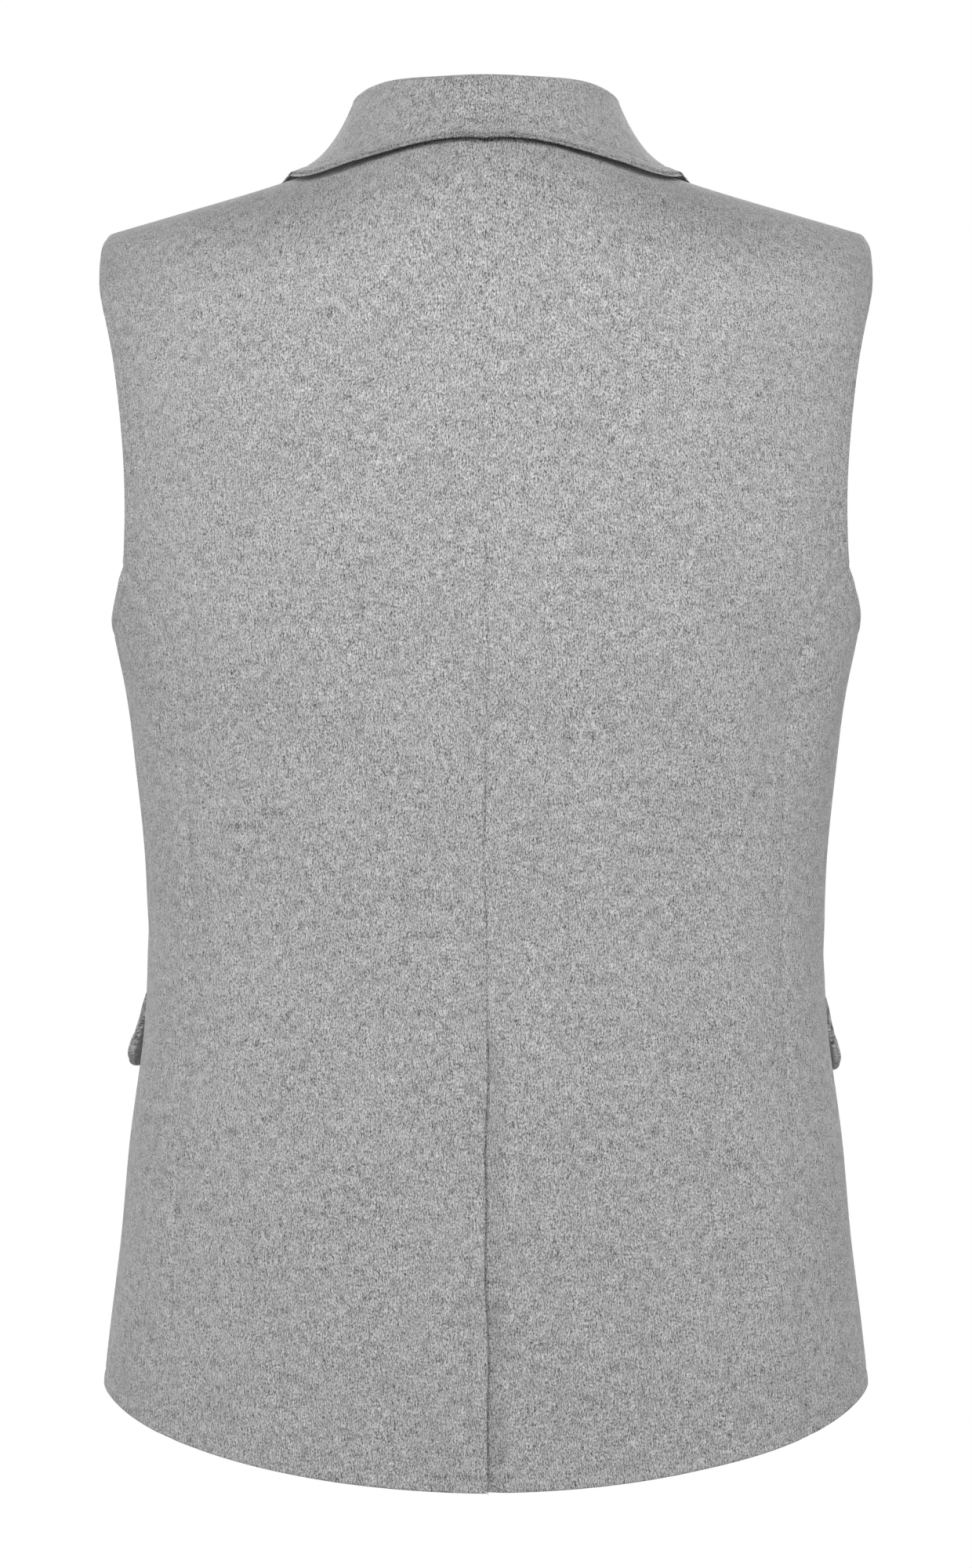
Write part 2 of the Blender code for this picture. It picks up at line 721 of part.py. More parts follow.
def collar_section(turn):
    # The middle line of the collar's section: up the stand, round the roll and down the fall to its free
    # edge. Over the fronts the stand sinks away and the roll lies down on the panel.
    curves = [table_curve(collar_sections, i) for i in range(1, 5)]
    base_run, edge_x, edge_run, rise = (float(curve(turn)) for curve in curves)
    base_x = float(roll_x(down_at(base_run)) if base_run > 0 else neckline_x(-base_run))
    base, base_normal = signed_surface(max(base_x, 1e-5), base_run)
    edge, edge_normal = signed_surface(max(edge_x, 1e-5), edge_run)
    out = unit(edge - base)
    front_part = float(ease(turn, 1.0, 2.0))
    up = unit(np.array([0, 0, 1.0]) * (1 - front_part) - out * front_part)
    plane = unit(np.cross(out, base_normal))
    side_way = unit(np.cross(up, plane))
    side_way = side_way if side_way @ (out + base_normal) > 0 else -side_way
    inset = (collar_stand_lean * (1 - front_part)) * out * np.array([1, 1, 0])
    stand_foot = base + up * 1.5 * seam_gap - side_way * cloth / 2
    centre = base - inset + up * (rise - roll_radius) + side_way * (roll_radius - cloth / 2) * front_part
    points = [stand_foot]
    stand_top = centre - side_way * roll_radius
    points += [stand_foot + (stand_top - stand_foot) * part for part in (0.35, 0.7)]
    for i in range(roll_steps + 1):
        turned = math.pi * i / roll_steps
        spoke = up * math.sin(turned) - side_way * math.cos(turned)
        points.append(centre + spoke * roll_radius)
    foot_x = base_x + collar_foot_part * (edge_x - base_x)
    foot_run = base_run + collar_foot_part * (edge_run - base_run)
    first_foot, _ = signed_surface(max(foot_x, 1e-5), foot_run)
    start_offset = points[-1] - first_foot
    end_offset = edge_normal * (lapel_lift + cloth / 2)
    for i in range(1, collar_steps + 1):
        part = i / collar_steps
        x = foot_x + (edge_x - foot_x) * part
        run = foot_run + (edge_run - foot_run) * part
        foot, _ = signed_surface(max(x, 1e-5), run)
        rest = (1 - part) ** collar_hollow
        points.append(foot + start_offset * rest + end_offset * (1 - rest))
    return np.array(points)


def collar(name, finish):
    turns = [*np.linspace(0, 1.6, 13), 1.72, collar_point, 1.99]
    left = [collar_section(float(turn)) for turn in turns]
    mirror = np.array([-1, 1, 1])
    right = [section * mirror for section in left[:0:-1]]
    return sheet(name, np.array(right + left), finish)


def flap(name, side, finish):
    # A pocket flap on the front and side, standing off more towards its lower edge.
    run_top = run_at(flap_top)
    rear = share_at(np.array(flap_rear), np.array(run_top), True)
    columns = np.concatenate([[0, 0.02, 0.05], np.linspace(0.10, 0.90, 9), [0.95, 0.98, 1]])
    rows = np.array([0, 0.25, 0.5, 0.75, 1])[:, None]
    corner = np.clip(1 - np.minimum(columns, 1 - columns) * flap_length / flap_corner, 0, 1)
    height = flap_height - flap_corner * (1 - np.sqrt(1 - corner**2))
    run = run_top + rows * height
    share = rear + columns * flap_length / half_girth(run)
    off = lapel_lift + flap_spring[side] * rows**flap_spring_power
    outer = placed(share, run, side, off + flap_cloth)
    inner = placed(share, run, side, off)
    return wall(name, outer, inner, finish)


def button(name, down, finish):
    # A turned button with a rim and a sunk flat face.
    profile = [(0, 0), (0.78, 0), (1, 0.35), (1, 0.72), (0.94, 1), (0.80, 1), (0.70, 0.84), (0, 0.84)]
    shape = bmesh.new()
    points = [shape.verts.new((r * button_radius, 0, z * button_thickness)) for r, z in profile]
    edges = [shape.edges.new(pair) for pair in zip(points, points[1:])]
    turns = {"cent": (0, 0, 0), "axis": (0, 0, 1), "angle": 2 * math.pi, "steps": 24}
    bmesh.ops.spin(shape, geom=points + edges, **turns)
    bmesh.ops.remove_doubles(shape, verts=shape.verts, dist=1e-6)
    bmesh.ops.recalc_face_normals(shape, faces=shape.faces)
    mesh = bpy.data.meshes.new(name)
    shape.to_mesh(mesh)
    shape.free()
    made = add_object(name, mesh, finish)
    run = run_at(np.array(down))
    normal = Vector(body_normal(np.array(1.0), run))
    made.rotation_mode = "QUATERNION"
    made.rotation_quaternion = Vector((0, 0, 1)).rotation_difference(normal)
    made.location = Vector(placed(np.array(1.0), run, 1, 2 * seam_gap))
    return made


def main():
    for old in list(bpy.data.objects):
        bpy.data.objects.remove(old)
    makers = {"back": back, "side": side_body, "front": front, "lapel": lapel, "flap": flap}
    wool = (0.37, 0.37, 0.37)
    horn = (0.09, 0.09, 0.095)
    for side_name, side in (("left", 1), ("right", -1)):
        for piece, make in makers.items():
            name = f"{piece}_{side_name}"
            make(name, side, material(f"wool_{name}", wool, 0.9, 0.4))
    collar("collar", material("wool_collar", wool, 0.9, 0.4))
    for place, down in button_levels.items():
        button(f"button_{place}", down, material(f"horn_{place}", horn, 0.35))


main()
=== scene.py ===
import math

import bpy
import numpy as np
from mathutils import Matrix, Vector
from mathutils.kdtree import KDTree


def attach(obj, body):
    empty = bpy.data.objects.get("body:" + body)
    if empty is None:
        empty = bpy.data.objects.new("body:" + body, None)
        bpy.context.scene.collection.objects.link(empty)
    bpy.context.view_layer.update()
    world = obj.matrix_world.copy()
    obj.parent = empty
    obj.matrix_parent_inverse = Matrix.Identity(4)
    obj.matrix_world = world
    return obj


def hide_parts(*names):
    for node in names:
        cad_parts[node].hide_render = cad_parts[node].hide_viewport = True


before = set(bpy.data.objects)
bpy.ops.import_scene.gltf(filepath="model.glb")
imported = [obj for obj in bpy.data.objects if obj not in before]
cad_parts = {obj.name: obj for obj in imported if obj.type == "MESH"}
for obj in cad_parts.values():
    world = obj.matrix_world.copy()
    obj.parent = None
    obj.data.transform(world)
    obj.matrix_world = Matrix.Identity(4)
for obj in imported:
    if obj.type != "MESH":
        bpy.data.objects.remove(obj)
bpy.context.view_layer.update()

# The cloth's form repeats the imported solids': one wall round the body, with two coordinates. share runs
# round it from 0 at the centre back to 1 at the centre front, and run is the distance down the wall from
# the shoulder line. down is the level below the origin that goes with a run. Lengths are in metres. Pieces
# are drawn for the wearer's left (side 1) and mirrored for the right (side -1).

sideName = {1: "left", -1: "right"}

cloth = {
    "thickness": 0.0026,
    "seamGap": -0.00004,  # neighbours just meet
    "lapStep": 0.0032,
    "slowWave": 0.00008,
    "quickWave": 0.00004,
    "waveRuns": (0.02, 0.10),
    "seamWander": (0.0006, 0.00035),
    "wanderRuns": (0.08, 0.16),
    "reverseNap": (0.0031, 0.0017, 0),  # so the nap runs on over an edge
    # the share of the painted shade that the reverse face gets
    "reversePaintedShade": 0.6,
    "reverseRelief": 0.4,
    "sharpAngle": 62,
}

shoulder = {
    "neckHalf": 0.070,
    "napeRun": 0.0674,
    "napeRise": 0.021,
    "napeSpread": 0.0665,
    "slope": 0.2848,
    "slopeStart": 0.066,
    "easing": 0.030,
    "tipStart": 0.2108,
    "tipWidth": 0.0069,
    "tipFall": 0.0183,
    "fade": 0.26,
    "roofRun": 0.090,
    "roofPower": 2.6,
    "backRoof": (0.10, 2.6),  # height, squareness
    "frontRoof": (0.15, 1.8),
    # Painted shade over the shoulder, where the cloth turns up away from the light: how dark, the runs where
    # it fades out and is full, and where across it is strongest
    "shade": 0.66,
    "shadeRuns": (0.128, 0.072),
    "shadeAcross": (0.112, 0.045),  # where it is strongest, and how wide
}

vent = {
    "top": 0.497,
    "underlap": 0.030,
    "underlapRise": (0.001, 0.010),
    "stepRise": 0.011,
    "stepEnd": 0.0008,
    "stepStart": 0.013,
    "flare": 0.005,
    "flareHeight": 0.030,
    "spring": 0.0022,
    "springReach": 0.030,
    # A painted shadow on the under panel: a dark line just beside the left back's edge, and a softer shade
    # beside it towards the hem
    "lineAway": 0.0003,
    "lineWidth": 0.0008,
    "lineDepth": 1.9,
    "lineRise": (-0.012, 0.03),
    "shadow": (0.14, 0.005),  # a softer painted shade beside the painted line: its share and width
    "shadowLevels": (0.60, 0.73),
}

closing = {
    "lap": 0.020,
    "breakDown": 0.335,
    "gorgeDown": 0.062,
    "rollBow": 0.94,
    "stepEnd": 0.0208,
    "stepStart": 0.036,
    "stepEndIn": 0.004,
    "stepStartIn": 0.018,
    "stepLevels": (0.195, 0.225),
}

hem = {
    "centreBack": 0.7357,
    "side": 0.6879,
    "centreFront": 0.7105,
    "wide": 0.784,
    "corner": 0.216,
    "cornerWidth": 0.045,
    "cornerHeight": 0.0414,
}

# Horizontal sections of the wall
sections = [
    # down, halfWidth, backDepth, frontDepth, backSquare, frontSquare
    (0.000, 0.2225, 0.0880, 0.1000, 2.50, 2.30),
    (0.030, 0.2217, 0.0930, 0.1055, 2.50, 2.30),
    (0.060, 0.2207, 0.0980, 0.1110, 2.50, 2.30),
    (0.090, 0.2192, 0.1024, 0.1155, 2.50, 2.30),
    (0.120, 0.2179, 0.1065, 0.1195, 2.50, 2.30),
    (0.180, 0.2160, 0.1115, 0.1250, 2.50, 2.30),
    (0.230, 0.2140, 0.1130, 0.1265, 2.48, 2.30),
    (0.262, 0.2104, 0.1120, 0.1258, 2.45, 2.30),
    (0.293, 0.2040, 0.1095, 0.1235, 2.42, 2.28),
    (0.340, 0.1976, 0.1045, 0.1190, 2.38, 2.26),
    (0.390, 0.1925, 0.0995, 0.1150, 2.35, 2.25),
    (0.440, 0.1909, 0.0975, 0.1130, 2.35, 2.25),
    (0.490, 0.1930, 0.1000, 0.1135, 2.38, 2.26),
    (0.545, 0.2003, 0.1055, 0.1160, 2.42, 2.28),
    (0.600, 0.2052, 0.1095, 0.1185, 2.45, 2.30),
    (0.650, 0.2112, 0.1125, 0.1205, 2.45, 2.30),
    (0.690, 0.2155, 0.1140, 0.1220, 2.45, 2.30),
    (0.760, 0.2190, 0.1150, 0.1230, 2.45, 2.30),
]

# The armhole's edge on the back and on the front, as its distance from the centre plane
armhole = [
    # down, backX, frontX
    (0.0000, 0.2168, 0.2168),
    (0.0200, 0.2171, 0.2166),
    (0.0360, 0.2167, 0.2145),
    (0.0630, 0.2138, 0.2085),
    (0.0900, 0.2094, 0.2030),
    (0.1200, 0.2056, 0.1985),
    (0.1500, 0.2028, 0.1950),
    (0.1870, 0.2010, 0.1932),
    (0.2140, 0.2014, 0.1945),
    (0.2300, 0.2028, 0.1975),
    (0.2430, 0.2062, 0.2035),
    (0.2550, 0.2108, 0.2100),
]
armholeFoot = {"down": 0.2582, "power": 3.0, "backSeamTop": 0.2290, "frontSeamTop": 0.2330}

backSeam = [
    # down, x
    (0.229, 0.2027),
    (0.237, 0.1950),
    (0.248, 0.1882),
    (0.268, 0.1790),
    (0.288, 0.1722),
    (0.315, 0.1685),
    (0.355, 0.1660),
    (0.420, 0.1625),
    (0.500, 0.1660),
    (0.600, 0.1720),
    (0.760, 0.1790),
]
frontSeam = [
    # down, x
    (0.233, 0.1985),
    (0.260, 0.1955),
    (0.310, 0.1855),
    (0.360, 0.1775),
    (0.440, 0.1735),
    (0.520, 0.1790),
    (0.600, 0.1860),
    (0.760, 0.1960),
]

# Soft folds and hollows: folds are the solids' own, and creases are finer
folds = [
    # side, share, down, tilt, halfLength, halfWidth, height
    (-1, 0.335, 0.300, 0.10, 0.060, 0.018, -0.0024),
    (-1, 0.415, 0.295, -0.15, 0.050, 0.016, 0.0014),
    (1, 0.345, 0.310, 0.05, 0.060, 0.020, -0.0014),
    (1, 0.250, 0.440, -0.25, 0.070, 0.022, -0.0012),
    (-1, 0.210, 0.440, 0.20, 0.080, 0.024, -0.0018),
    (-1, 0.120, 0.600, 0.05, 0.090, 0.024, 0.0016),
    (1, 0.170, 0.620, -0.10, 0.100, 0.026, 0.0020),
    (1, 0.300, 0.660, 0.05, 0.080, 0.022, -0.0018),
    (-1, 0.290, 0.650, -0.05, 0.090, 0.024, 0.0018),
    (1, 0.560, 0.650, 0.00, 0.070, 0.022, 0.0016),
    (-1, 0.560, 0.640, 0.05, 0.070, 0.022, 0.0016),
    (1, 0.880, 0.375, 0.95, 0.050, 0.012, 0.0014),
    (-1, 0.860, 0.380, -1.00, 0.050, 0.012, 0.0013),
    (1, 0.850, 0.290, -0.70, 0.050, 0.014, -0.0012),
    (-1, 0.840, 0.300, 0.70, 0.050, 0.014, -0.0011),
]
creases = [
    # side, share, down, tilt, halfLength, halfWidth, height
    (-1, 0.330, 0.300, 0.12, 0.055, 0.014, -0.0012),
    (-1, 0.412, 0.292, -0.18, 0.045, 0.012, 0.0011),
    (-1, 0.300, 0.270, 0.35, 0.045, 0.010, -0.0007),
    (1, 0.330, 0.262, -0.30, 0.040, 0.010, -0.0006),
    (1, 0.140, 0.385, -0.60, 0.055, 0.012, -0.0005),
    (-1, 0.130, 0.470, 0.75, 0.060, 0.012, -0.0005),
    (1, 0.230, 0.520, -1.10, 0.055, 0.012, 0.0006),
    (-1, 0.330, 0.500, 1.05, 0.050, 0.011, -0.0006),
    (1, 0.120, 0.560, -0.35, 0.060, 0.014, -0.0006),
    (-1, 0.060, 0.640, 0.15, 0.070, 0.013, -0.0007),
    (1, 0.230, 0.690, -0.30, 0.040, 0.012, 0.0007),
    (-1, 0.200, 0.690, 0.25, 0.045, 0.012, -0.0007),
    (1, 0.470, 0.430, 1.20, 0.035, 0.010, -0.0006),
    (-1, 0.480, 0.445, -1.25, 0.035, 0.010, -0.0006),
    (1, 0.760, 0.420, 0.80, 0.050, 0.012, -0.0007),
    (-1, 0.740, 0.430, -0.85, 0.050, 0.012, -0.0006),
    (1, 0.900, 0.480, 0.60, 0.050, 0.011, 0.0007),
    (-1, 0.890, 0.490, -0.65, 0.050, 0.011, -0.0006),
    (1, 0.800, 0.620, 0.10, 0.070, 0.018, 0.0010),
    (-1, 0.780, 0.630, -0.10, 0.070, 0.018, 0.0010),
]

# How an edge is worked: a seam sinks between pressed ridges, and a turned edge is felled by hand on a line
# inside it. Away is a distance from the edge.
seamWork = {
    "sink": 0.00060,
    "sinkWidth": 0.0007,
    "seamShadeWidth": 0.0008,
    "valley": 0.00050,
    # how wide the painted shade in a sunk seam's line is
    "valleyWidth": 0.0038,
    "ridge": 0.00028,
    "ridgeAway": 0.0080,
    "ridgeWidth": 0.0036,
    "pucker": 0.00014,
    "puckerAway": 0.003,
    "puckerWidth": 0.0045,
}
edgeWork = {
    "inset": 0.0088,
    "groove": 0.00042,
    "grooveWidth": 0.0013,
    # painted shade along the felled line's groove: how dark, and how wide
    "grooveShade": 0.35,
    "grooveShadeWidth": 0.0009,
    "puff": 0.00030,
    "round": 0.0013,
    "thinning": 0.86,
    # painted shade along the rim of a turned edge: how dark, and how wide
    "rimShade": 0.2,
    "rimShadeWidth": 0.0010,
}

# The mesh's steps near an edge: the step there, how far it holds and how fast it grows beyond
closeSteps = {
    "seam": (0.00035, 0.0012, 0.22),
    "turned": (0.00026, 0.0011, 0.25),
    "felled": (0.00085, 0.0026, 0.25),
    "hidden": (0.0012, 0.0, 0.35),
}


def curveOf(table, index):
    # A natural cubic spline through a table's column, level beyond its ends.
    knots = np.array([row[0] for row in table])
    values = np.array([row[index] for row in table])
    steps = np.diff(knots)
    slopes = np.diff(values) / steps
    count = len(knots)
    matrix = np.eye(count)
    right = np.zeros(count)
    for i in range(1, count - 1):
        matrix[i, i - 1 : i + 2] = steps[i - 1], 2 * (steps[i - 1] + steps[i]), steps[i]
        right[i] = 6 * (slopes[i] - slopes[i - 1])
    bends = np.linalg.solve(matrix, right)

    def value(at):
        at = np.clip(at, knots[0], knots[-1])
        i = np.clip(np.searchsorted(knots, at, side="right") - 1, 0, count - 2)
        after = (at - knots[i]) / steps[i]
        before = 1 - after
        bend = (before**3 - before) * bends[i] + (after**3 - after) * bends[i + 1]
        return before * values[i] + after * values[i + 1] + bend * steps[i] ** 2 / 6

    return value


halfWidth, backDepth, frontDepth, backSquare, frontSquare = (curveOf(sections, i) for i in range(1, 6))
armholeBackX, armholeFrontX = curveOf(armhole, 1), curveOf(armhole, 2)
backSeamX, frontSeamX = curveOf(backSeam, 1), curveOf(frontSeam, 1)


def through(pairs, at):
    # Straight lines through a list of pairs
    return np.interp(at, *np.array(pairs).T)


def eased(value, start, end):
    t = np.clip((value - start) / (end - start), 0, 1)
    return t * t * (3 - 2 * t)


def bell(value, width):
    return np.exp(-((value / width) ** 2))


def downAt(run):
    roof, power = shoulder["roofRun"], shoulder["roofPower"]
    return roof / power * (np.clip(run, 0, roof) / roof) ** power + np.maximum(run - roof, 0)


def runAt(down):
    roof, power = shoulder["roofRun"], shoulder["roofPower"]
    foot = roof / power
    return roof * (np.clip(down, 0, foot) * power / roof) ** (1 / power) + np.maximum(down - foot, 0)


def shoulderDrop(x):
    easing = shoulder["easing"]
    sloped = np.sqrt(x**2 + easing**2) - math.hypot(shoulder["slopeStart"], easing)
    tip = np.clip((np.abs(x) - shoulder["tipStart"]) / shoulder["tipWidth"], 0, 1)
    rounded = shoulder["tipFall"] * (1 - np.sqrt(1 - tip**2))
    return shoulder["slope"] * sloped + rounded - shoulder["napeRise"] * bell(x, shoulder["napeSpread"])


def roofShare(down, roof):
    rest = np.clip(1 - down / roof[0], 0, 1)
    return (1 - rest ** roof[1]) ** (1 / roof[1])


def wallPoint(angle, run):
    down = downAt(run)
    behind = np.cos(angle) > 0
    square = np.where(behind, backSquare(down), frontSquare(down))
    depthBack = backDepth(down) * roofShare(down, shoulder["backRoof"])
    depthFront = frontDepth(down) * roofShare(down, shoulder["frontRoof"])
    x = halfWidth(down) * np.sign(np.sin(angle)) * np.abs(np.sin(angle)) ** (2 / square)
    y = np.where(behind, depthBack, -depthFront) * np.abs(np.cos(angle)) ** (2 / square)
    fade = np.clip(1 - down / shoulder["fade"], 0, 1) ** 2
    return np.stack([x, y, -down - shoulderDrop(x) * fade], axis=-1)


# Tables of the wall's half girth at each run, of the share of it reached at each angle, and the reverse
tableRuns = np.linspace(0, 0.85, 426)  # every 2 mm
tableAngles = np.linspace(0, math.pi, 721)  # every quarter of a degree
ringPoints = wallPoint(*np.meshgrid(tableAngles, tableRuns))
ringSteps = np.linalg.norm(np.diff(ringPoints, axis=1), axis=2)
ringGirths = np.concatenate([np.zeros((len(tableRuns), 1)), np.cumsum(ringSteps, axis=1)], axis=1)
shareTable = ringGirths / ringGirths[:, -1:]
evenShares = np.linspace(0, 1, len(tableAngles))
angleTable = np.array([np.interp(evenShares, row, tableAngles) for row in shareTable])


def halfGirth(run):
    return np.interp(run, tableRuns, ringGirths[:, -1])


def lookUp(table, run, place):
    row = np.clip(run / tableRuns[-1], 0, 1) * (table.shape[0] - 1)
    across = np.clip(place, 0, 1) * (table.shape[1] - 1)
    i = np.minimum(row.astype(int), table.shape[0] - 2)
    j = np.minimum(across.astype(int), table.shape[1] - 2)
    s, t = row - i, across - j
    near = table[i, j] * (1 - t) + table[i, j + 1] * t
    far = table[i + 1, j] * (1 - t) + table[i + 1, j + 1] * t
    return near * (1 - s) + far * s


def bodyPoint(share, run):
    share, run = np.broadcast_arrays(np.asarray(share, float), np.asarray(run, float))
    folded = np.where(share > 1, share - 2, share)
    angle = lookUp(angleTable, run, np.abs(folded)) * np.sign(folded + 1e-12)
    return wallPoint(angle, run)


def bodyNormal(share, run):
    probe = 0.0012  # half the cloth's thickness, so the finest corners stay soft
    turn = probe / halfGirth(run)
    along = bodyPoint(share + turn, run) - bodyPoint(share - turn, run)
    down = bodyPoint(share, run + probe) - bodyPoint(share, np.maximum(run - probe, 0))
    normal = np.cross(along, down)
    return normal / np.linalg.norm(normal, axis=-1, keepdims=True)


def shareAt(x, run, front):
    down = downAt(run)
    square = frontSquare(down) if front else backSquare(down)
    angle = np.arcsin(np.clip(np.abs(x) / halfWidth(down), 0, 1) ** (square / 2))
    if front:
        share = lookUp(shareTable, run, 1 - angle / math.pi)
        return np.where(x >= 0, share, 2 - share)
    return lookUp(shareTable, run, angle / math.pi) * np.sign(x)


def foldHeight(share, run, side):
    height = np.zeros(np.broadcast(share, run).shape)
    for foldSide, foldShare, down, tilt, halfLength, width, rise in folds + creases:
        if foldSide == side:
            across = (share - foldShare) * halfGirth(run)
            along = downAt(run) - down
            over = across * math.cos(tilt) - along * math.sin(tilt)
            up = across * math.sin(tilt) + along * math.cos(tilt)
            height += rise * bell(over, width) * bell(up, halfLength)
    return height


def unevenness(share, run, side):
    # The softness in the hang of the cloth: waves of a few different lengths, from 0.06 to 0.4 m
    around = share * halfGirth(run) * side + 0.04 * side
    slow = np.sin(41 * around + 23 * run + 1.3) * np.sin(17 * run - 19 * around + 0.4)
    quick = np.sin(83 * around - 31 * run + 2.1) * np.sin(57 * run + 29 * around + 0.9)
    return (cloth["slowWave"] * slow + cloth["quickWave"] * quick) * eased(run, *cloth["waveRuns"])


def ventHeight(share, run, side):
    # The right back steps in under the left one, which springs off a little towards the hem
    across = share * halfGirth(run)
    down = downAt(run)
    if side < 0:
        stepped = eased(across, vent["stepStart"], vent["stepEnd"])
        return -cloth["lapStep"] * stepped * eased(down, vent["top"] - vent["stepRise"], vent["top"])
    return vent["spring"] * eased(down, vent["top"], hem["centreBack"]) * bell(across, vent["springReach"])


def lapHeight(share, run, side):
    # The right front steps in under the left one
    if side > 0:
        return 0 * share
    across = (1 - share) * halfGirth(run)
    stepped = eased(across, closing["stepStart"], closing["stepEnd"])
    return -cloth["lapStep"] * stepped * eased(downAt(run), *closing["stepLevels"])


def clothHeight(share, run, side):
    behind = ventHeight(share, run, side)
    ahead = lapHeight(share, run, side)
    soft = foldHeight(share, run, side) + unevenness(share, run, side)
    return soft + np.where(np.abs(share) < 0.5, behind, ahead)


def placed(share, run, side, height=0.0):
    lift = clothHeight(share, run, side) + height
    point = bodyPoint(share, run) + bodyNormal(share, run) * np.asarray(lift)[..., None]
    return point * np.array([side, 1, 1])


def hemDown(share, run):
    # The hem's level: a bow from the centre back up to the sides, a flatter one to the front, a round corner
    part = np.clip(np.abs(bodyPoint(share, run)[..., 0]) / halfWidth(downAt(run)), 0, 1)
    rise = hem["wide"] * part**2 + hem["corner"] * part**10
    back = hem["centreBack"] - (hem["centreBack"] - hem["side"]) * rise
    front = hem["side"] + (hem["centreFront"] - hem["side"]) * (1 - part**2)
    inside = np.clip(((1 - share) * halfGirth(run) + closing["lap"]) / hem["cornerWidth"], 0, 1)
    corner = hem["cornerHeight"] * (1 - np.sqrt(1 - (1 - inside) ** 2))
    return np.where(np.abs(share) < 0.5, back, front - corner)


def necklineX(run):
    return shoulder["neckHalf"] * np.sqrt(np.clip(1 - (run / shoulder["napeRun"]) ** 2, 0, 1))


def rollX(down):
    reach = shoulder["neckHalf"] + closing["lap"]
    return shoulder["neckHalf"] - reach * np.clip(down / closing["breakDown"], 0, 1) ** closing["rollBow"]


# Panel edges, each giving the share for a run


def halfSeam(run):
    return cloth["seamGap"] / 2 / halfGirth(run)


def seamWander(run):
    # A sewn seam is never quite straight
    slow, quick = cloth["seamWander"]
    wave = slow * np.sin(run * 31 + 0.6) + quick * np.sin(run * 83 + 2.0)
    return wave * eased(run, *cloth["wanderRuns"])


def centreBackEdge(side):
    def edge(run):
        neck = shareAt(np.maximum(necklineX(run), 1e-5), run, False)
        seam = halfSeam(run) + side * seamWander(run) / halfGirth(run)
        return np.where(run < shoulder["napeRun"], neck, seam)

    return edge


def ventEdge(run):
    first, last = vent["underlapRise"]
    opened = eased(downAt(run), vent["top"] + first, vent["top"] + last)
    under = (vent["underlap"] + cloth["seamGap"]) * opened
    return centreBackEdge(-1)(run) - under / halfGirth(run)


def ventStepEdge(run):
    flared = eased(downAt(run), vent["top"], vent["top"] - vent["flareHeight"])
    away = vent["stepEnd"] + vent["flare"] * flared
    return centreBackEdge(-1)(run) + away / halfGirth(run)


def ventStepStartEdge(run):
    return centreBackEdge(-1)(run) + vent["stepStart"] / halfGirth(run)


def backOuterEdge(run):
    down = downAt(run)
    hole = shareAt(armholeBackX(down), run, False)
    seam = shareAt(backSeamX(down), run, False)
    return np.where(down < armholeFoot["backSeamTop"], hole, seam) - halfSeam(run)


def sideBackEdge(run):
    return shareAt(backSeamX(downAt(run)), run, False) + halfSeam(run)


def sideFrontEdge(run):
    return shareAt(frontSeamX(downAt(run)), run, True) - halfSeam(run)


def frontOuterEdge(run):
    down = downAt(run)
    hole = shareAt(armholeFrontX(down), run, True)
    seam = shareAt(frontSeamX(down), run, True)
    return np.where(down < armholeFoot["frontSeamTop"], hole, seam) + halfSeam(run)


def frontInnerEdge(run):
    return shareAt(rollX(downAt(run)), run, True)


def lapStepEdge(run):
    return shareAt(np.maximum(closing["stepEnd"], rollX(downAt(run)) + closing["stepEndIn"]), run, True)


def lapStepStartEdge(run):
    return shareAt(np.maximum(closing["stepStart"], rollX(downAt(run)) + closing["stepStartIn"]), run, True)


def armholeTop(columns):
    # The armhole's foot across the side body: the run of each column's top, and its drift from an even place
    t = 2 * columns - 1
    ends = np.where(t < 0, armholeFoot["backSeamTop"], armholeFoot["frontSeamTop"])
    run = runAt(armholeFoot["down"] - (armholeFoot["down"] - ends) * np.abs(t) ** armholeFoot["power"])
    first = sideBackEdge(runAt(armholeFoot["backSeamTop"]))
    last = sideFrontEdge(runAt(armholeFoot["frontSeamTop"]))
    even = sideBackEdge(run) + (sideFrontEdge(run) - sideBackEdge(run)) * columns
    return run, first + (last - first) * columns - even


def panelGrid(lines, top, rows, columns, drift=0.0):
    # A panel's shares and runs. Columns lie between its upright lines, and rows from its top to the hem,
    # whose level depends on the share, so the places are worked out again until they settle.
    part = rows[:, None]
    run = part * runAt(hem["side"]) + np.zeros((1, len(columns)))
    line = np.minimum(np.floor(columns).astype(int), len(lines) - 2)
    beyond = columns - line
    first = line[None, None, :] + np.zeros((1, *run.shape), int)
    for again in range(14):
        places = np.array([edge(run) for edge in lines])
        start = np.take_along_axis(places, first, axis=0)[0]
        end = np.take_along_axis(places, first + 1, axis=0)[0]
        share = start + (end - start) * beyond + drift * (1 - part) ** 8  # the drift dies out below the top
        hemRun = runAt(hemDown(share, run))
        run = top + (hemRun - top) * part
    return share, run


def spaced(length, coarse, spots):
    # Places from 0 to 1 along a length, close together at the spots and coarser between them.
    # A spot is its place, the step there, how far that step holds, and how fast it grows beyond.
    places = [0.0]
    while places[-1] < length:
        at = places[-1]
        steps = [fine + grow * max(0.0, abs(at - spot) - hold) for spot, fine, hold, grow in spots]
        places.append(at + min([coarse, *steps]))
    return np.array(places) / places[-1]


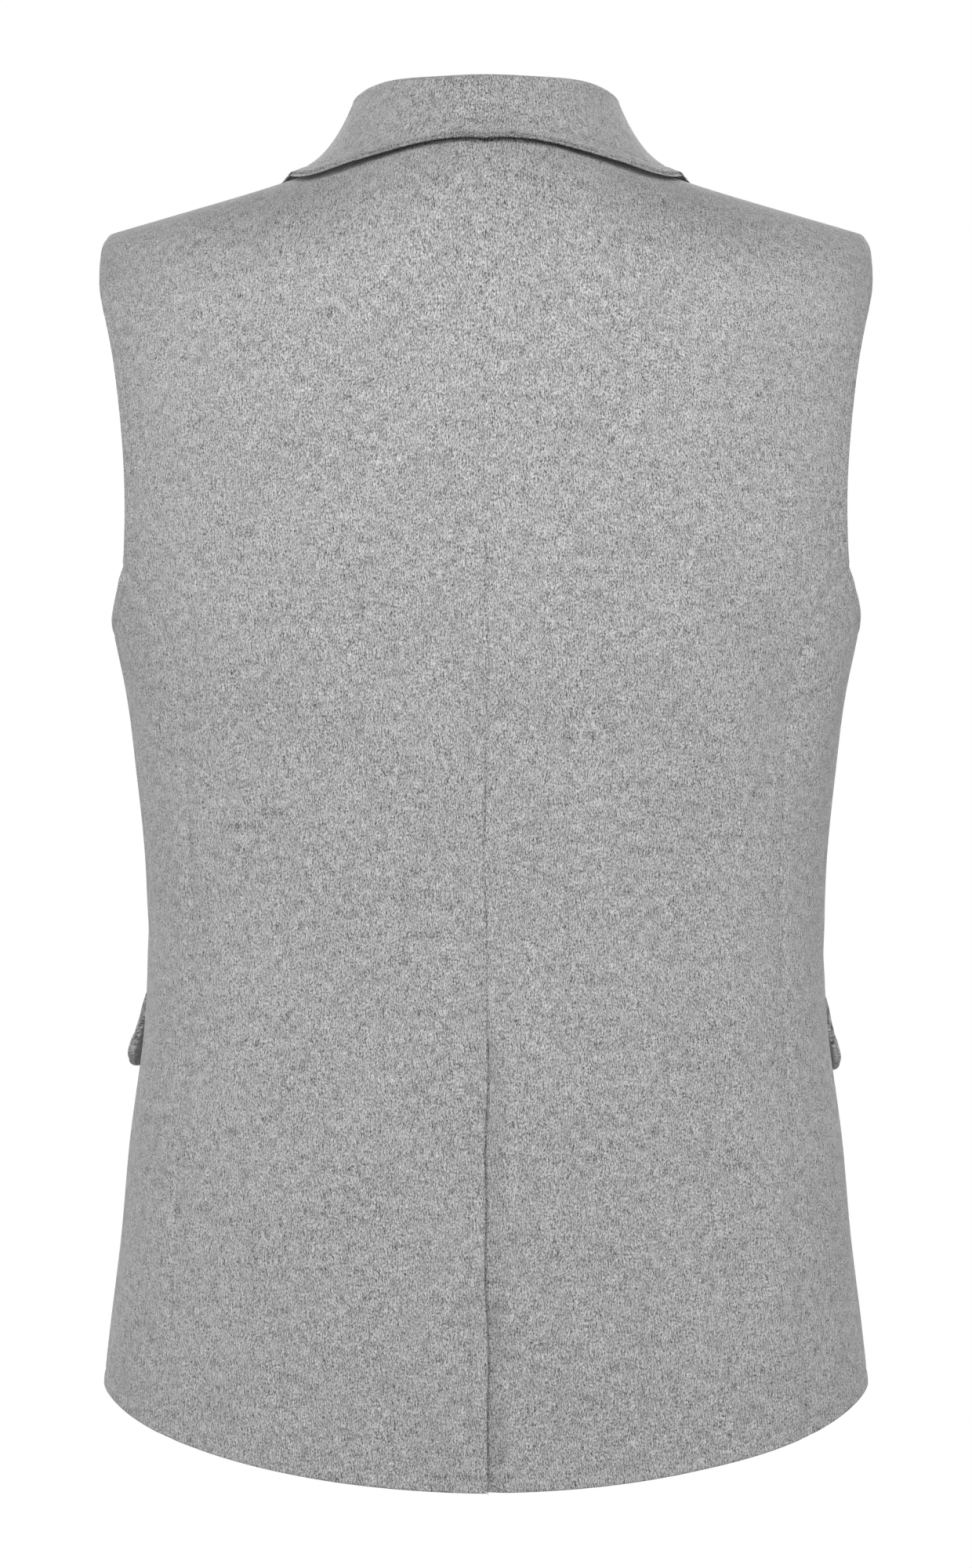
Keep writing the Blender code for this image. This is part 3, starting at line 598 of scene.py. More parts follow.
def nearLine(points, line):
    # Each point's distance from a line of points, and how far along the line its nearest place is
    tree = KDTree(len(line))
    for i, place in enumerate(line):
        tree.insert(place, i)
    tree.balance()
    nearest = np.array([tree.find(point)[1] for point in points])
    lengths = np.concatenate([[0], np.cumsum(np.linalg.norm(np.diff(line, axis=0), axis=1))])
    best = np.full(len(points), 1e9)
    along = np.zeros(len(points))
    for start in (np.maximum(nearest - 1, 0), np.minimum(nearest, len(line) - 2)):
        stretch = line[start + 1] - line[start]
        squared = np.maximum((stretch**2).sum(1), 1e-16)
        t = np.clip(((points - line[start]) * stretch).sum(1) / squared, 0, 1)
        away = np.linalg.norm(points - line[start] - stretch * t[:, None], axis=1)
        nearer = away < best
        along = np.where(nearer, lengths[start] + t * np.sqrt(squared), along)
        best = np.where(nearer, away, best)
    return best, along, lengths


def worked(base, edges):
    # What the sewing of its edges does to a piece: the height it adds, the part of the thickness left
    # towards a turned edge, and the shade painted along it: painted shade in a sunk seam's line, along a
    # felled line's groove and at a turned edge's rim. An edge is a line and how far it is a sharp seam, a
    # soft pressed seam and a turned edge, along it or all over.
    points = base.reshape(-1, 3)
    height, left, paintedShade = np.zeros(len(points)), np.ones(len(points)), np.zeros(len(points))
    for line, *kinds in edges:
        away, along, lengths = nearLine(points, line)
        sharp, soft, turned = (np.interp(along, lengths, kind + 0 * lengths) for kind in kinds)
        # Hand work is uneven: puckers 10 mm apart that swell and fade, and a seam drawn tighter in places
        pucker = np.sin(along * 610 + 2.0 * np.sin(along * 47)) * (0.6 + 0.4 * np.sin(along * 133 + 1))
        tight = 0.72 + 0.28 * np.sin(along * 71 + 1.5 * np.sin(along * 23))
        valley = seamWork["valley"] * bell(away, seamWork["valleyWidth"])
        ridge = seamWork["ridge"] * bell(away - seamWork["ridgeAway"], seamWork["ridgeWidth"])
        puckers = seamWork["pucker"] * pucker * bell(away - seamWork["puckerAway"], seamWork["puckerWidth"])
        height += soft * (ridge - valley + puckers)
        height -= sharp * tight * seamWork["sink"] * bell(away, seamWork["sinkWidth"])
        inside = away - edgeWork["inset"]
        groove = edgeWork["groove"] * (0.78 + 0.22 * pucker) * bell(inside, edgeWork["grooveWidth"])
        between = bell(away - edgeWork["inset"] / 2, edgeWork["inset"] / 2.3)
        puff = edgeWork["puff"] * (1 + 0.25 * pucker) * between
        height += turned * (puff - groove)
        rounded = np.sqrt(np.clip(1 - (1 - np.clip(away / edgeWork["round"], 0, 1)) ** 2, 0, 1))
        left = np.minimum(left, 1 - turned * (1 - rounded) * edgeWork["thinning"])
        felled = edgeWork["grooveShade"] * tight * bell(inside, edgeWork["grooveShadeWidth"])
        rim = edgeWork["rimShade"] * bell(away, edgeWork["rimShadeWidth"])
        # Painted shade: darker in a sunk seam's line, along a felled line's groove and at a turned edge's rim
        paintedShade = np.maximum(paintedShade, sharp * tight * bell(away, seamWork["seamShadeWidth"]))
        paintedShade = np.maximum(paintedShade, turned * np.maximum(felled, rim))
    shape = base.shape[:2]
    return height.reshape(shape), left.reshape(shape), paintedShade.reshape(shape)


def outward(share, run, side):
    return bodyNormal(share, run) * np.array([side, 1, 1])


def gridNormals(grid):
    normal = np.cross(np.gradient(grid, axis=1), np.gradient(grid, axis=0))
    return normal / np.maximum(np.linalg.norm(normal, axis=-1, keepdims=True), 1e-12)


def inScene(name, data):
    made = bpy.data.objects.new(name, data)
    bpy.context.scene.collection.objects.link(made)
    return made


def shell(name, outer, inner, nap, paintedShade, finish, reversePaintedShade=None):
    # One closed wall between two grids, carrying the way of the nap (in metres across and along the cloth)
    # and the shade painted on it
    rows, columns = outer.shape[:2]
    count = rows * columns
    i, j = np.meshgrid(np.arange(rows - 1), np.arange(columns - 1), indexing="ij")
    k = (i * columns + j).ravel()
    front = np.stack([k, k + 1, k + columns + 1, k + columns], axis=1)
    back = front[:, ::-1] + count
    top = np.arange(columns)
    foot = top + (rows - 1) * columns
    first = np.arange(rows) * columns
    last = first + columns - 1
    rim = []
    for loop in (top[::-1], last[::-1], foot, first):
        rim.append(np.stack([loop[:-1], loop[1:], loop[1:] + count, loop[:-1] + count], axis=1))
    faces = np.concatenate([front, back, *rim])
    if (gridNormals(outer) * (outer - inner)).sum() > 0:
        faces = faces[:, ::-1]
    mesh = bpy.data.meshes.new(name)
    mesh.vertices.add(2 * count)
    mesh.vertices.foreach_set("co", np.concatenate([outer.reshape(-1, 3), inner.reshape(-1, 3)]).ravel())
    mesh.loops.add(faces.size)
    mesh.loops.foreach_set("vertex_index", faces.ravel())
    mesh.polygons.add(len(faces))
    mesh.polygons.foreach_set("loop_start", np.arange(len(faces)) * 4)
    mesh.update(calc_edges=True)
    mesh.validate()
    bothNaps = np.stack([nap, nap + np.array(cloth["reverseNap"])])
    napData = mesh.attributes.new("nap", "FLOAT_VECTOR", "POINT")
    napData.data.foreach_set("vector", bothNaps.ravel())
    # The reverse face gets a share of the painted shade, unless its own is given
    behind = paintedShade * cloth["reversePaintedShade"] if reversePaintedShade is None else reversePaintedShade
    paintedShadeData = mesh.attributes.new("paintedShade", "FLOAT", "POINT")
    paintedShadeData.data.foreach_set("value", np.concatenate([paintedShade.ravel(), behind.ravel()]))
    mesh.materials.append(finish)
    mesh.shade_smooth()
    mesh.set_sharp_from_angle(angle=math.radians(cloth["sharpAngle"]))
    return inScene(name, mesh)


def flatArea(grid):
    # The area of a grid's cells, laid flat
    across = np.linalg.norm(np.diff(grid, axis=1), axis=2)
    along = np.linalg.norm(np.diff(grid, axis=0), axis=2)
    return float(((across[1:] + across[:-1]) / 2 * (along[:, 1:] + along[:, :-1]) / 2).sum())


rims = {}  # edges that keep their raised nap: lines of points along each, and the cloth's outward way there
fullestCut = 0.98  # the most of its rectangle that a cut takes up


def asCloth(made, node, flat, grid):
    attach(made, "root")
    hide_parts(node)
    area = min(flatArea(grid), fullestCut * flat[0] * flat[1])
    print(f"{made.name}: {len(made.data.polygons)} faces, {area:.4f} square metres")


def wallPiece(part, side, grid, edges, flat, paintedShading=None):
    # A panel that hangs on the wall. Its last argument adds painted shadow and shade on the right side of the
    # cloth alone.
    node = f"{part}_{sideName[side]}"
    share, run = grid
    base = placed(share, run, side)
    way = outward(share, run, side)
    height, left, paintedShade = worked(base, edges(base, downAt(run)))
    # The reverse face gets a share of the shade painted along the edges, and none of the painted shading
    # below
    reverse = paintedShade * cloth["reversePaintedShade"]
    if paintedShading is not None:
        paintedShade = np.maximum(paintedShade, paintedShading(base, run))
    thinned = cloth["thickness"] / 2 * (1 - left)
    outer = base + way * (height - thinned)[..., None]
    inner = base + way * (thinned - cloth["thickness"] - cloth["reverseRelief"] * height)[..., None]
    nap = np.stack([share * halfGirth(run) * side, -run, 0 * run], axis=-1)
    made = shell(f"wool_{node}", outer, inner, nap, paintedShade, woolFinish, reverse)
    asCloth(made, node, flat, outer)
    if node == "back_left":
        opened = downAt(run[:, 0]) > vent["top"]
        rims["vent"] = [((outer[opened, 0] + inner[opened, 0]) / 2, way[opened, 0])]


def addNode(tree, kind, settings=None, links=None):
    # Adds a node, with its settings and its links
    node = tree.nodes.new(kind)
    for name, value in (settings or {}).items():
        if isinstance(name, str) and hasattr(node, name):
            setattr(node, name, value)
        else:
            node.inputs[name].default_value = value
    for name, source in (links or {}).items():
        tree.links.new(source, node.inputs[name])
    return node


def colourOf(code):
    # An sRGB hex value, turned to linear
    parts = [int(code[i : i + 2], 16) / 255 for i in (1, 3, 5)]
    return (*(p / 12.92 if p <= 0.04045 else ((p + 0.055) / 1.055) ** 2.4 for p in parts), 1)


def newMaterial(name):
    made = bpy.data.materials.new(name)
    made.use_nodes = True
    made.node_tree.nodes.clear()
    return made, made.node_tree


def brushedWool(name):
    # Double-faced wool, woven from dark and pale fibres together and brushed: the eye sees no weave, only
    # short mixed hairs lying down the cloth at slight slants, soft clouding between them, and a pale bloom at
    # the turn of a fold. Sizes are in millimetres on the cloth. A single hair is too fine to show, so each
    # streak is as coarse as a lock of them.
    wool = {
        "dark": "#323232",
        "middle": "#989898",
        "pale": "#bebebe",
        "contrast": (0.368, 0.50, 0.652),
        "hairs": [(9, 0.74, 1.5), (-13, 0.64, 1.15)],  # slant in degrees, size across, size along
        "longHair": (2, 0.52, 7.0),
        "longShare": 0.36,
        "darkHair": (-5, 0.54, 1.6),
        "darkHairs": (0.46, 0.57, 0.44),  # where they start and are full, and how dark
        "gathering": 0.10,
        "sway": (26.0, 9.0),  # how far apart the nap changes its slant, and how far it strays
        "mottle": (6.0, 0.12),  # size and share
        "cloud": (48.0, 0.03),
        # how much the painted shade darkens the colour
        "paintedShadeStrength": 0.34,
        "roughness": (0.84, 0.12),
        "bump": 0.00096,
    }
    made, tree = newMaterial(name)
    nap = addNode(tree, "ShaderNodeAttribute", {"attribute_name": "nap"})
    napScale = {"operation": "SCALE", "Scale": 1000.0}
    inMillimetres = addNode(tree, "ShaderNodeVectorMath", napScale, {0: nap.outputs["Vector"]})
    place = {"Vector": inMillimetres.outputs[0]}
    swaySize, swayReach = wool["sway"]
    swayNoise = addNode(tree, "ShaderNodeTexNoise", {"Scale": 1 / swaySize, "Detail": 1.0}, place)
    swayAcross = {"operation": "MULTIPLY", 1: (swayReach, 0, 0)}
    swayed = addNode(tree, "ShaderNodeVectorMath", swayAcross, {0: swayNoise.outputs["Color"]})
    bothPlaces = {0: inMillimetres.outputs[0], 1: swayed.outputs[0]}
    lying = addNode(tree, "ShaderNodeVectorMath", {"operation": "ADD"}, bothPlaces)
    strands = []
    for slant, across, along in [*wool["hairs"], wool["longHair"], wool["darkHair"]]:
        turn = {"rotation_type": "Z_AXIS", "Angle": math.radians(slant)}
        turned = addNode(tree, "ShaderNodeVectorRotate", turn, {"Vector": lying.outputs[0]})
        stretch = {"operation": "MULTIPLY", 1: (1 / across, 1 / along, 1)}
        laid = addNode(tree, "ShaderNodeVectorMath", stretch, {0: turned.outputs[0]})
        grain = {"Scale": 1.0, "Detail": 1.0, "Roughness": 0.6, "Distortion": 0.1}
        strands.append(addNode(tree, "ShaderNodeTexNoise", grain, {"Vector": laid.outputs[0]}))
    mottleSize, mottleShare = wool["mottle"]
    spotted = {"Scale": 1 / mottleSize, "Detail": 2.0, "Roughness": 0.6}
    mottle = addNode(tree, "ShaderNodeTexNoise", spotted, place)
    cloudSize, cloudShare = wool["cloud"]
    cloud = addNode(tree, "ShaderNodeTexNoise", {"Scale": 1 / cloudSize, "Detail": 1.0}, place)
    # The hairs, the mottle and the clouds are mixed in one after another. fibres has all but the clouds.
    mixed = strands[0]
    shares = [(strands[1], 0.5), (strands[2], wool["longShare"])]
    shares += [(mottle, mottleShare), (cloud, cloudShare)]
    for more, share in shares:
        fibres = mixed
        mixed = addNode(tree, "ShaderNodeMix", {"Factor": share}, {2: mixed.outputs[0], 3: more.outputs[0]})
    ramp = addNode(tree, "ShaderNodeValToRGB", {}, {"Fac": mixed.outputs[0]})
    ramp.color_ramp.elements.new(0.5)
    for element, spot, code in zip(ramp.color_ramp.elements, wool["contrast"], ("dark", "middle", "pale")):
        element.position = spot
        element.color = colourOf(wool[code])
    # Single dark hairs, more of them where the mottle is dark
    gather = {"operation": "MULTIPLY_ADD", 1: -wool["gathering"]}
    sparse = addNode(tree, "ShaderNodeMath", gather, {0: mottle.outputs[0], 2: strands[3].outputs[0]})
    darkRange = dict(zip(("From Min", "From Max", "To Max"), wool["darkHairs"]))
    darkHairs = addNode(tree, "ShaderNodeMapRange", darkRange, {"Value": sparse.outputs[0]})
    # Painted shade darkens the colour: in seams, grooves and rims, below the collar, beside the vent, over
    # the shoulders and over the collar
    paintedShadeAttribute = addNode(tree, "ShaderNodeAttribute", {"attribute_name": "paintedShade"})
    shade = {"operation": "MULTIPLY_ADD", 1: -wool["paintedShadeStrength"], 2: 1.0}
    afterPaintedShade = addNode(tree, "ShaderNodeMath", shade, {0: paintedShadeAttribute.outputs["Fac"]})
    darker = {"operation": "SUBTRACT", "use_clamp": True}
    light = addNode(tree, "ShaderNodeMath", darker, {0: afterPaintedShade.outputs[0], 1: darkHairs.outputs[0]})
    dyed = {0: ramp.outputs["Color"], "Scale": light.outputs[0]}
    colour = addNode(tree, "ShaderNodeVectorMath", {"operation": "SCALE"}, dyed)
    relief = {0: fibres.outputs[0], 1: light.outputs[0]}
    raised = addNode(tree, "ShaderNodeMath", {"operation": "MULTIPLY"}, relief)
    bump = addNode(tree, "ShaderNodeBump", {"Distance": wool["bump"]}, {"Height": raised.outputs[0]})
    dull, varied = wool["roughness"]
    roughness = {"operation": "MULTIPLY_ADD", 1: varied, 2: dull}
    rough = addNode(tree, "ShaderNodeMath", roughness, {0: mixed.outputs[0]})
    looks = {
        "IOR": 1.45,
        "Specular IOR Level": 0.25,
        "Sheen Weight": 0.62,
        "Sheen Roughness": 0.36,
        "Sheen Tint": colourOf("#dedee0"),
    }
    sources = {"Base Color": colour.outputs[0], "Roughness": rough.outputs[0], "Normal": bump.outputs[0]}
    shader = addNode(tree, "ShaderNodeBsdfPrincipled", looks, sources)
    addNode(tree, "ShaderNodeOutputMaterial", {}, {"Surface": shader.outputs[0]})
    return made


def polishedHorn(name):
    # Dark horn, sawn, turned and polished: near black with drawn-out grey streaks under a soft gloss
    horn = {
        "dark": "#2b2a2b",
        "streak": "#4d4a49",
        "contrast": (0.40, 0.66),
        "streakSize": (2.222, 9.091, 4.762),  # millimetres
        "gloss": 0.22,
        "wear": 0.16,
    }
    made, tree = newMaterial(name)
    place = addNode(tree, "ShaderNodeTexCoord")
    drawn = {"operation": "MULTIPLY", 1: tuple(1000 / size for size in horn["streakSize"])}
    streaked = addNode(tree, "ShaderNodeVectorMath", drawn, {0: place.outputs["Object"]})
    grain = {"Scale": 1.0, "Detail": 4.0, "Roughness": 0.62, "Distortion": 0.7}
    noise = addNode(tree, "ShaderNodeTexNoise", grain, {"Vector": streaked.outputs[0]})
    ramp = addNode(tree, "ShaderNodeValToRGB", {}, {"Fac": noise.outputs[0]})
    for element, spot, code in zip(ramp.color_ramp.elements, horn["contrast"], ("dark", "streak")):
        element.position = spot
        element.color = colourOf(horn[code])
    worn = {"operation": "MULTIPLY_ADD", 1: horn["wear"], 2: horn["gloss"]}
    rough = addNode(tree, "ShaderNodeMath", worn, {0: noise.outputs[0]})
    scratched = {"Strength": 0.25, "Distance": 0.0001}
    bump = addNode(tree, "ShaderNodeBump", scratched, {"Height": noise.outputs[0]})
    looks = {"IOR": 1.54, "Coat Weight": 0.25, "Coat Roughness": 0.15}
    sources = {"Base Color": ramp.outputs["Color"], "Roughness": rough.outputs[0], "Normal": bump.outputs[0]}
    shader = addNode(tree, "ShaderNodeBsdfPrincipled", looks, sources)
    addNode(tree, "ShaderNodeOutputMaterial", {}, {"Surface": shader.outputs[0]})
    return made


def buttonTwist(name):
    # Waxed silk twist for buttonholes and buttons: fine plies turning round the thread, with a low shine.
    # A wave repeats at about a sixth of its scale's inverse, so the scale is worked out from the ply.
    twist = {"pale": "#7d7d80", "shade": 0.55, "ply": 0.00022, "waveShare": 0.16}
    made, tree = newMaterial(name)
    place = addNode(tree, "ShaderNodeTexCoord")
    scale = twist["waveShare"] / twist["ply"]
    bands = {"wave_type": "BANDS", "bands_direction": "DIAGONAL", "Scale": scale, "Distortion": 0.8}
    wave = addNode(tree, "ShaderNodeTexWave", bands, {"Vector": place.outputs["Object"]})
    ramp = addNode(tree, "ShaderNodeValToRGB", {}, {"Fac": wave.outputs["Fac"]})
    pale = colourOf(twist["pale"])
    ramp.color_ramp.elements[0].color = (*(part * twist["shade"] for part in pale[:3]), 1)
    ramp.color_ramp.elements[1].color = pale
    twisted = {"Strength": 0.5, "Distance": 0.0001}
    bump = addNode(tree, "ShaderNodeBump", twisted, {"Height": wave.outputs["Fac"]})
    looks = {"Roughness": 0.55, "IOR": 1.5, "Sheen Weight": 0.2}
    sources = {"Base Color": ramp.outputs["Color"], "Normal": bump.outputs[0]}
    shader = addNode(tree, "ShaderNodeBsdfPrincipled", looks, sources)
    addNode(tree, "ShaderNodeOutputMaterial", {}, {"Surface": shader.outputs[0]})
    return made


def looseHair(name):
    # Single wool hairs raised along an edge by the brush: dull, some of them dark and some pale
    hair = {"dark": "#4a4a4a", "pale": "#b4b4b4", "contrast": (0.38, 0.62), "change": 0.000769}
    made, tree = newMaterial(name)
    place = addNode(tree, "ShaderNodeTexCoord")
    grain = {"Scale": 1 / hair["change"], "Detail": 1.0}
    noise = addNode(tree, "ShaderNodeTexNoise", grain, {"Vector": place.outputs["Object"]})
    ramp = addNode(tree, "ShaderNodeValToRGB", {}, {"Fac": noise.outputs[0]})
    for element, spot, code in zip(ramp.color_ramp.elements, hair["contrast"], ("dark", "pale")):
        element.position = spot
        element.color = colourOf(hair[code])
    looks = {"Roughness": 0.7, "Specular IOR Level": 0.3, "Sheen Weight": 0.3}
    shader = addNode(tree, "ShaderNodeBsdfPrincipled", looks, {"Base Color": ramp.outputs["Color"]})
    addNode(tree, "ShaderNodeOutputMaterial", {}, {"Surface": shader.outputs[0]})
    return made


woolFinish = brushedWool("brushed_double_faced_wool")
hairFinish = looseHair("loose_wool_hair")
hornFinish = polishedHorn("polished_dark_horn")
twistFinish = buttonTwist("waxed_silk_twist")
print("materials: ready")


# Panels: the backs, the side bodies and the fronts

backPanel = {
    "flat": (0.222, 0.752),
    "rightFlat": (0.250, 0.752),
    "width": 0.192,
    "rightWidth": 0.179,  # beyond the vent's step
    "cell": 0.0037,
    "ventWork": (0.0098, 0.0010, 0.003, 0.25),  # columns stay close along the vent's felled line
    "shoulderRun": 0.00004,
    "centreSeam": (0.30, 0.95),  # how deep the centre back seam is at the top and lower down
    "centreLevels": (0.14, 0.30),
    "napeFade": (0.001, 0.007),  # where the seam comes out from the neckline
    "ventFade": (-0.002, 0.006),  # where it turns into the vent's edges
    "holeFade": (0.002, -0.003),  # where the side-back seam turns into the armhole
    "sideSeam": 0.32,
    "shoulderSeam": 0.5,
    "shoulderSoft": 0.6,
}
sidePanel = {"flat": (0.150, 0.520), "width": 0.125, "length": 0.455, "cell": 0.0036}
frontPanel = {
    "flat": (0.262, 0.745),
    "width": 0.215,
    "rightWidth": 0.160,  # up to the step under the lap
    "lapWidth": 0.040,
    "buttonsIn": 0.042,
    "cell": 0.0037,
    "lapCell": 0.0032,
    "shoulderRun": 0.00022,
    "sideSeam": 0.35,
    "turnBelow": (-0.004, 0.002),  # where the edge below the lapel starts to be turned and felled
}


def edgeSteps(length, coarse, start, end, more=()):
    # Steps across a piece: fine at each end, and over the whole of a turned edge
    spots = list(more)
    for place, inward, kind in ((0.0, 1, start), (length, -1, end)):
        spots.append((place, *closeSteps[kind]))
        if kind == "turned":
            spots.append((place + inward * edgeWork["inset"], *closeSteps["felled"]))
    return spaced(length, coarse, spots)


def backEdges(base, down):
    first, last = down[:, 0], down[:, -1]
    faint, full = backPanel["centreSeam"]
    centre = faint + (full - faint) * eased(first, *backPanel["centreLevels"])
    nape = [float(downAt(shoulder["napeRun"] + away)) for away in backPanel["napeFade"]]
    opened = eased(first, *(vent["top"] + away for away in backPanel["ventFade"]))
    centre = centre * eased(first, *nape) * (1 - opened)
    hole = eased(last, *(armholeFoot["backSeamTop"] + away for away in backPanel["holeFade"]))
    return [
        (base[:, 0], centre, 0.5 * centre, opened),
        (base[:, -1], backPanel["sideSeam"] * (1 - hole), 1 - hole, hole),
        (base[0], backPanel["shoulderSeam"], backPanel["shoulderSoft"], 0),
        (base[-1], 0, 0, 1),
    ]


def paintedShadowUnderCollar(base, run):
    # A painted shadow: a narrow dark band painted on the back below the collar's free edge
    turns = np.linspace(0, 1.02, 40)
    x = np.abs(base[..., 0])
    below = run + np.interp(x, collarCurves[1](turns), collarCurves[2](turns))
    uneven = 0.0004 * np.sin(x * 900 + 2 * np.sin(x * 310)) + 0.0003 * np.sin(x * 2300)
    band = through(collarPiece["paintedShading"], x) + uneven
    inside = eased(x, *collarPiece["shadowReach"]) * eased(below, *collarPiece["shadowBehind"])
    pale, dark = collarPiece["shadowFade"]
    return collarPiece["shadowDepth"] * inside * eased(below, band + pale, band + dark)


def paintedShoulderShade(base, run):
    # Painted shade over the shoulder, strongest near the shoulder line, where the cloth turns up away from
    # the light
    across, width = shoulder["shadeAcross"]
    strength = shoulder["shade"] * (0.5 + 0.5 * bell(np.abs(base[..., 0]) - across, width))
    return strength * eased(run, *shoulder["shadeRuns"])


# Painted shade and shadow for the backs: a painted shadow below the collar, painted shade over the shoulder
# and, on the right back, a painted shadow beside the vent's edge
def paintedBackShading(side):
    def paintedShading(base, run):
        paintedShade = np.maximum(paintedShadowUnderCollar(base, run), paintedShoulderShade(base, run))
        if side > 0:
            return paintedShade
        # A painted shadow on the under panel: a dark line beside the vent's edge, and a softer painted shade
        # beside it lower down
        beyond = seamWander(run) - base[..., 0]
        lying = eased(downAt(run), *(vent["top"] + away for away in vent["lineRise"]))
        lying = lying * (0.85 + 0.15 * np.sin(run * 420))
        share, width = vent["shadow"]
        shadow = share * bell(beyond, width) * eased(downAt(run), *vent["shadowLevels"])
        line = bell(beyond - vent["lineAway"], vent["lineWidth"]) + shadow
        return np.maximum(paintedShade, vent["lineDepth"] * lying * line)

    return paintedShading


def makeBack(side):
    length = float(runAt(hem["centreBack"]))
    more = [  # rows stay close at the neckline, at the vent's top and over the shoulder's roof
        (shoulder["napeRun"] - 0.001, 0.0005, 0.0012, 0.2),
        (float(runAt(vent["top"] + 0.004)), 0.0011, 0.007, 0.2),
        (0.060, 0.0012, 0.024, 0.2),
    ]
    rows = edgeSteps(length, backPanel["cell"], "seam", "turned", more)
    if side > 0:
        lines = [centreBackEdge(side), backOuterEdge]
        columns = edgeSteps(backPanel["width"], backPanel["cell"], "seam", "turned", [backPanel["ventWork"]])
        flat = backPanel["flat"]
    else:
        # Columns of the underlap, close at its edge and at the seam, then of the step, then of the panel
        lines = [ventEdge, ventStepEdge, ventStepStartEdge, backOuterEdge]
        middle = np.linspace(0.28, 0.91, 8)
        under = np.concatenate([[0, 0.04, 0.10, 0.18], middle, [0.94, 0.96, 0.975, 0.99, 1]])
        step = 1 + np.linspace(0, 1, 16)[1:] ** 1.5
        panel = 2 + edgeSteps(backPanel["rightWidth"], backPanel["cell"], "hidden", "turned")[1:]
        columns = np.concatenate([under, step, panel])
        flat = backPanel["rightFlat"]
    grid = panelGrid(lines, backPanel["shoulderRun"], rows, columns)
    wallPiece("back", side, grid, backEdges, flat, paintedBackShading(side))


def sideEdges(base, down):
    return [
        (base[:, 0], backPanel["sideSeam"], 1, 0),
        (base[:, -1], frontPanel["sideSeam"], 1, 0),
        (base[0], 0, 0, 1),
        (base[-1], 0, 0, 1),
    ]


def makeSide(side):
    columns = edgeSteps(sidePanel["width"], sidePanel["cell"], "seam", "seam")
    rows = edgeSteps(sidePanel["length"], sidePanel["cell"], "turned", "turned")
    top, drift = armholeTop(columns)
    grid = panelGrid([sideBackEdge, sideFrontEdge], top, rows, columns, drift)
    wallPiece("side", side, grid, sideEdges, sidePanel["flat"])


def frontEdges(side):
    def edges(base, down):
        outer, inner = down[:, 0], down[:, -1]
        hole = eased(outer, *(armholeFoot["frontSeamTop"] + away for away in backPanel["holeFade"]))
        turned = eased(inner, *(lapelPiece["endDown"][side] + away for away in frontPanel["turnBelow"]))
        return [
            (base[:, 0], frontPanel["sideSeam"] * (1 - hole), 1 - hole, hole),
            (base[:, -1], 0, 0, turned),
            (base[0], backPanel["shoulderSeam"], backPanel["shoulderSoft"], 0),
            (base[-1], 0, 0, 1),
        ]

    return edges


def makeFront(side):
    length = float(runAt(hem["centreFront"]))
    cell, width = frontPanel["cell"], frontPanel["width"]
    holes = [(float(runAt(down)), 0.0005, 0.0018, 0.25) for down in buttons["levels"].values()]
    rows = edgeSteps(length, cell, "seam", "turned", holes if side > 0 else ())
    if side > 0:
        lines = [frontOuterEdge, frontInnerEdge]
        more = [(width - frontPanel["buttonsIn"], 0.0012, 0.004, 0.2)]
        columns = edgeSteps(width, cell, "turned", "turned", more)
    else:
        lines = [frontOuterEdge, lapStepStartEdge, lapStepEdge, frontInnerEdge]
        panel = edgeSteps(frontPanel["rightWidth"], cell, "turned", "hidden")
        step = 1 + np.linspace(0, 1, 10)[1:]
        under = 2 + edgeSteps(frontPanel["lapWidth"], frontPanel["lapCell"], "hidden", "turned")[1:]
        columns = np.concatenate([panel, step, under])
    grid = panelGrid(lines, frontPanel["shoulderRun"], rows, columns)
    wallPiece("front", side, grid, frontEdges(side), frontPanel["flat"], paintedShoulderShade)


# Lapels: turned back on the fronts from the roll line, in one with the facing

lapelPiece = {
    "edge": [
        # down, x
        (0.108, 0.1262),
        (0.140, 0.1128),
        (0.180, 0.0915),
        (0.220, 0.0670),
        (0.260, 0.0400),
        (0.300, 0.0105),
        (0.320, -0.0042),
        (0.337, -0.0186),
    ],
    "endDown": {1: 0.336, -1: 0.287},
    "flatLevels": {1: (0.329, 0.311), -1: (0.240, 0.224)},  # where the roll dies out into a flat end
    "flat": {1: (0.112, 0.302), -1: (0.112, 0.262)},
    "width": 0.085,
    "length": 0.27,
    "cell": 0.0036,
    "rollRadius": 0.0030,
    "rollSteps": 10,
    "clear": 0.0084,
    "hollow": 2.2,
    "least": 0.002,
    "gap": 0.0006,
    "lift": 0.0009,
    "edgeLift": 0.0010,
    "workFrom": (14, 18),  # columns over which the gorge's turned edge begins, past the roll
    "endWork": 0.8,
    "napStart": 0.4,
}
lapelEdgeX = curveOf(lapelPiece["edge"], 1)


def turnedCloth(middle, way, edges):
    # The two faces of a turned piece, from the middle of its cloth, and how hard it is pressed
    height, left, paintedShade = worked(middle, edges)
    half = cloth["thickness"] / 2 * left
    return middle + way * (half + height)[..., None], middle - way * half[..., None], paintedShade


def rolledSection(width, rolled, parts):
    # A lapel's section as distance over the panel and height off it: round the roll, then out to the edge
    half, radius = cloth["thickness"] / 2, lapelPiece["rollRadius"]
    rest = lapelPiece["lift"] + half
    top = rest + (2 * radius - half - rest) * rolled
    turn = math.pi * np.arange(lapelPiece["rollSteps"]) / lapelPiece["rollSteps"]
    over = (-lapelPiece["gap"] - radius * np.sin(turn)) * rolled
    over += -4 * lapelPiece["gap"] * (1 - turn / math.pi) * (1 - rolled)
    height = (radius - half - radius * np.cos(turn)) * rolled + rest * (1 - rolled)
    sprung = lapelPiece["edgeLift"] * rolled * eased(parts, 0.6, 1.0)
    fall = rest + (top - rest) * (1 - parts) ** lapelPiece["hollow"] + sprung
    return np.concatenate([over, width * parts]), np.concatenate([height, fall])


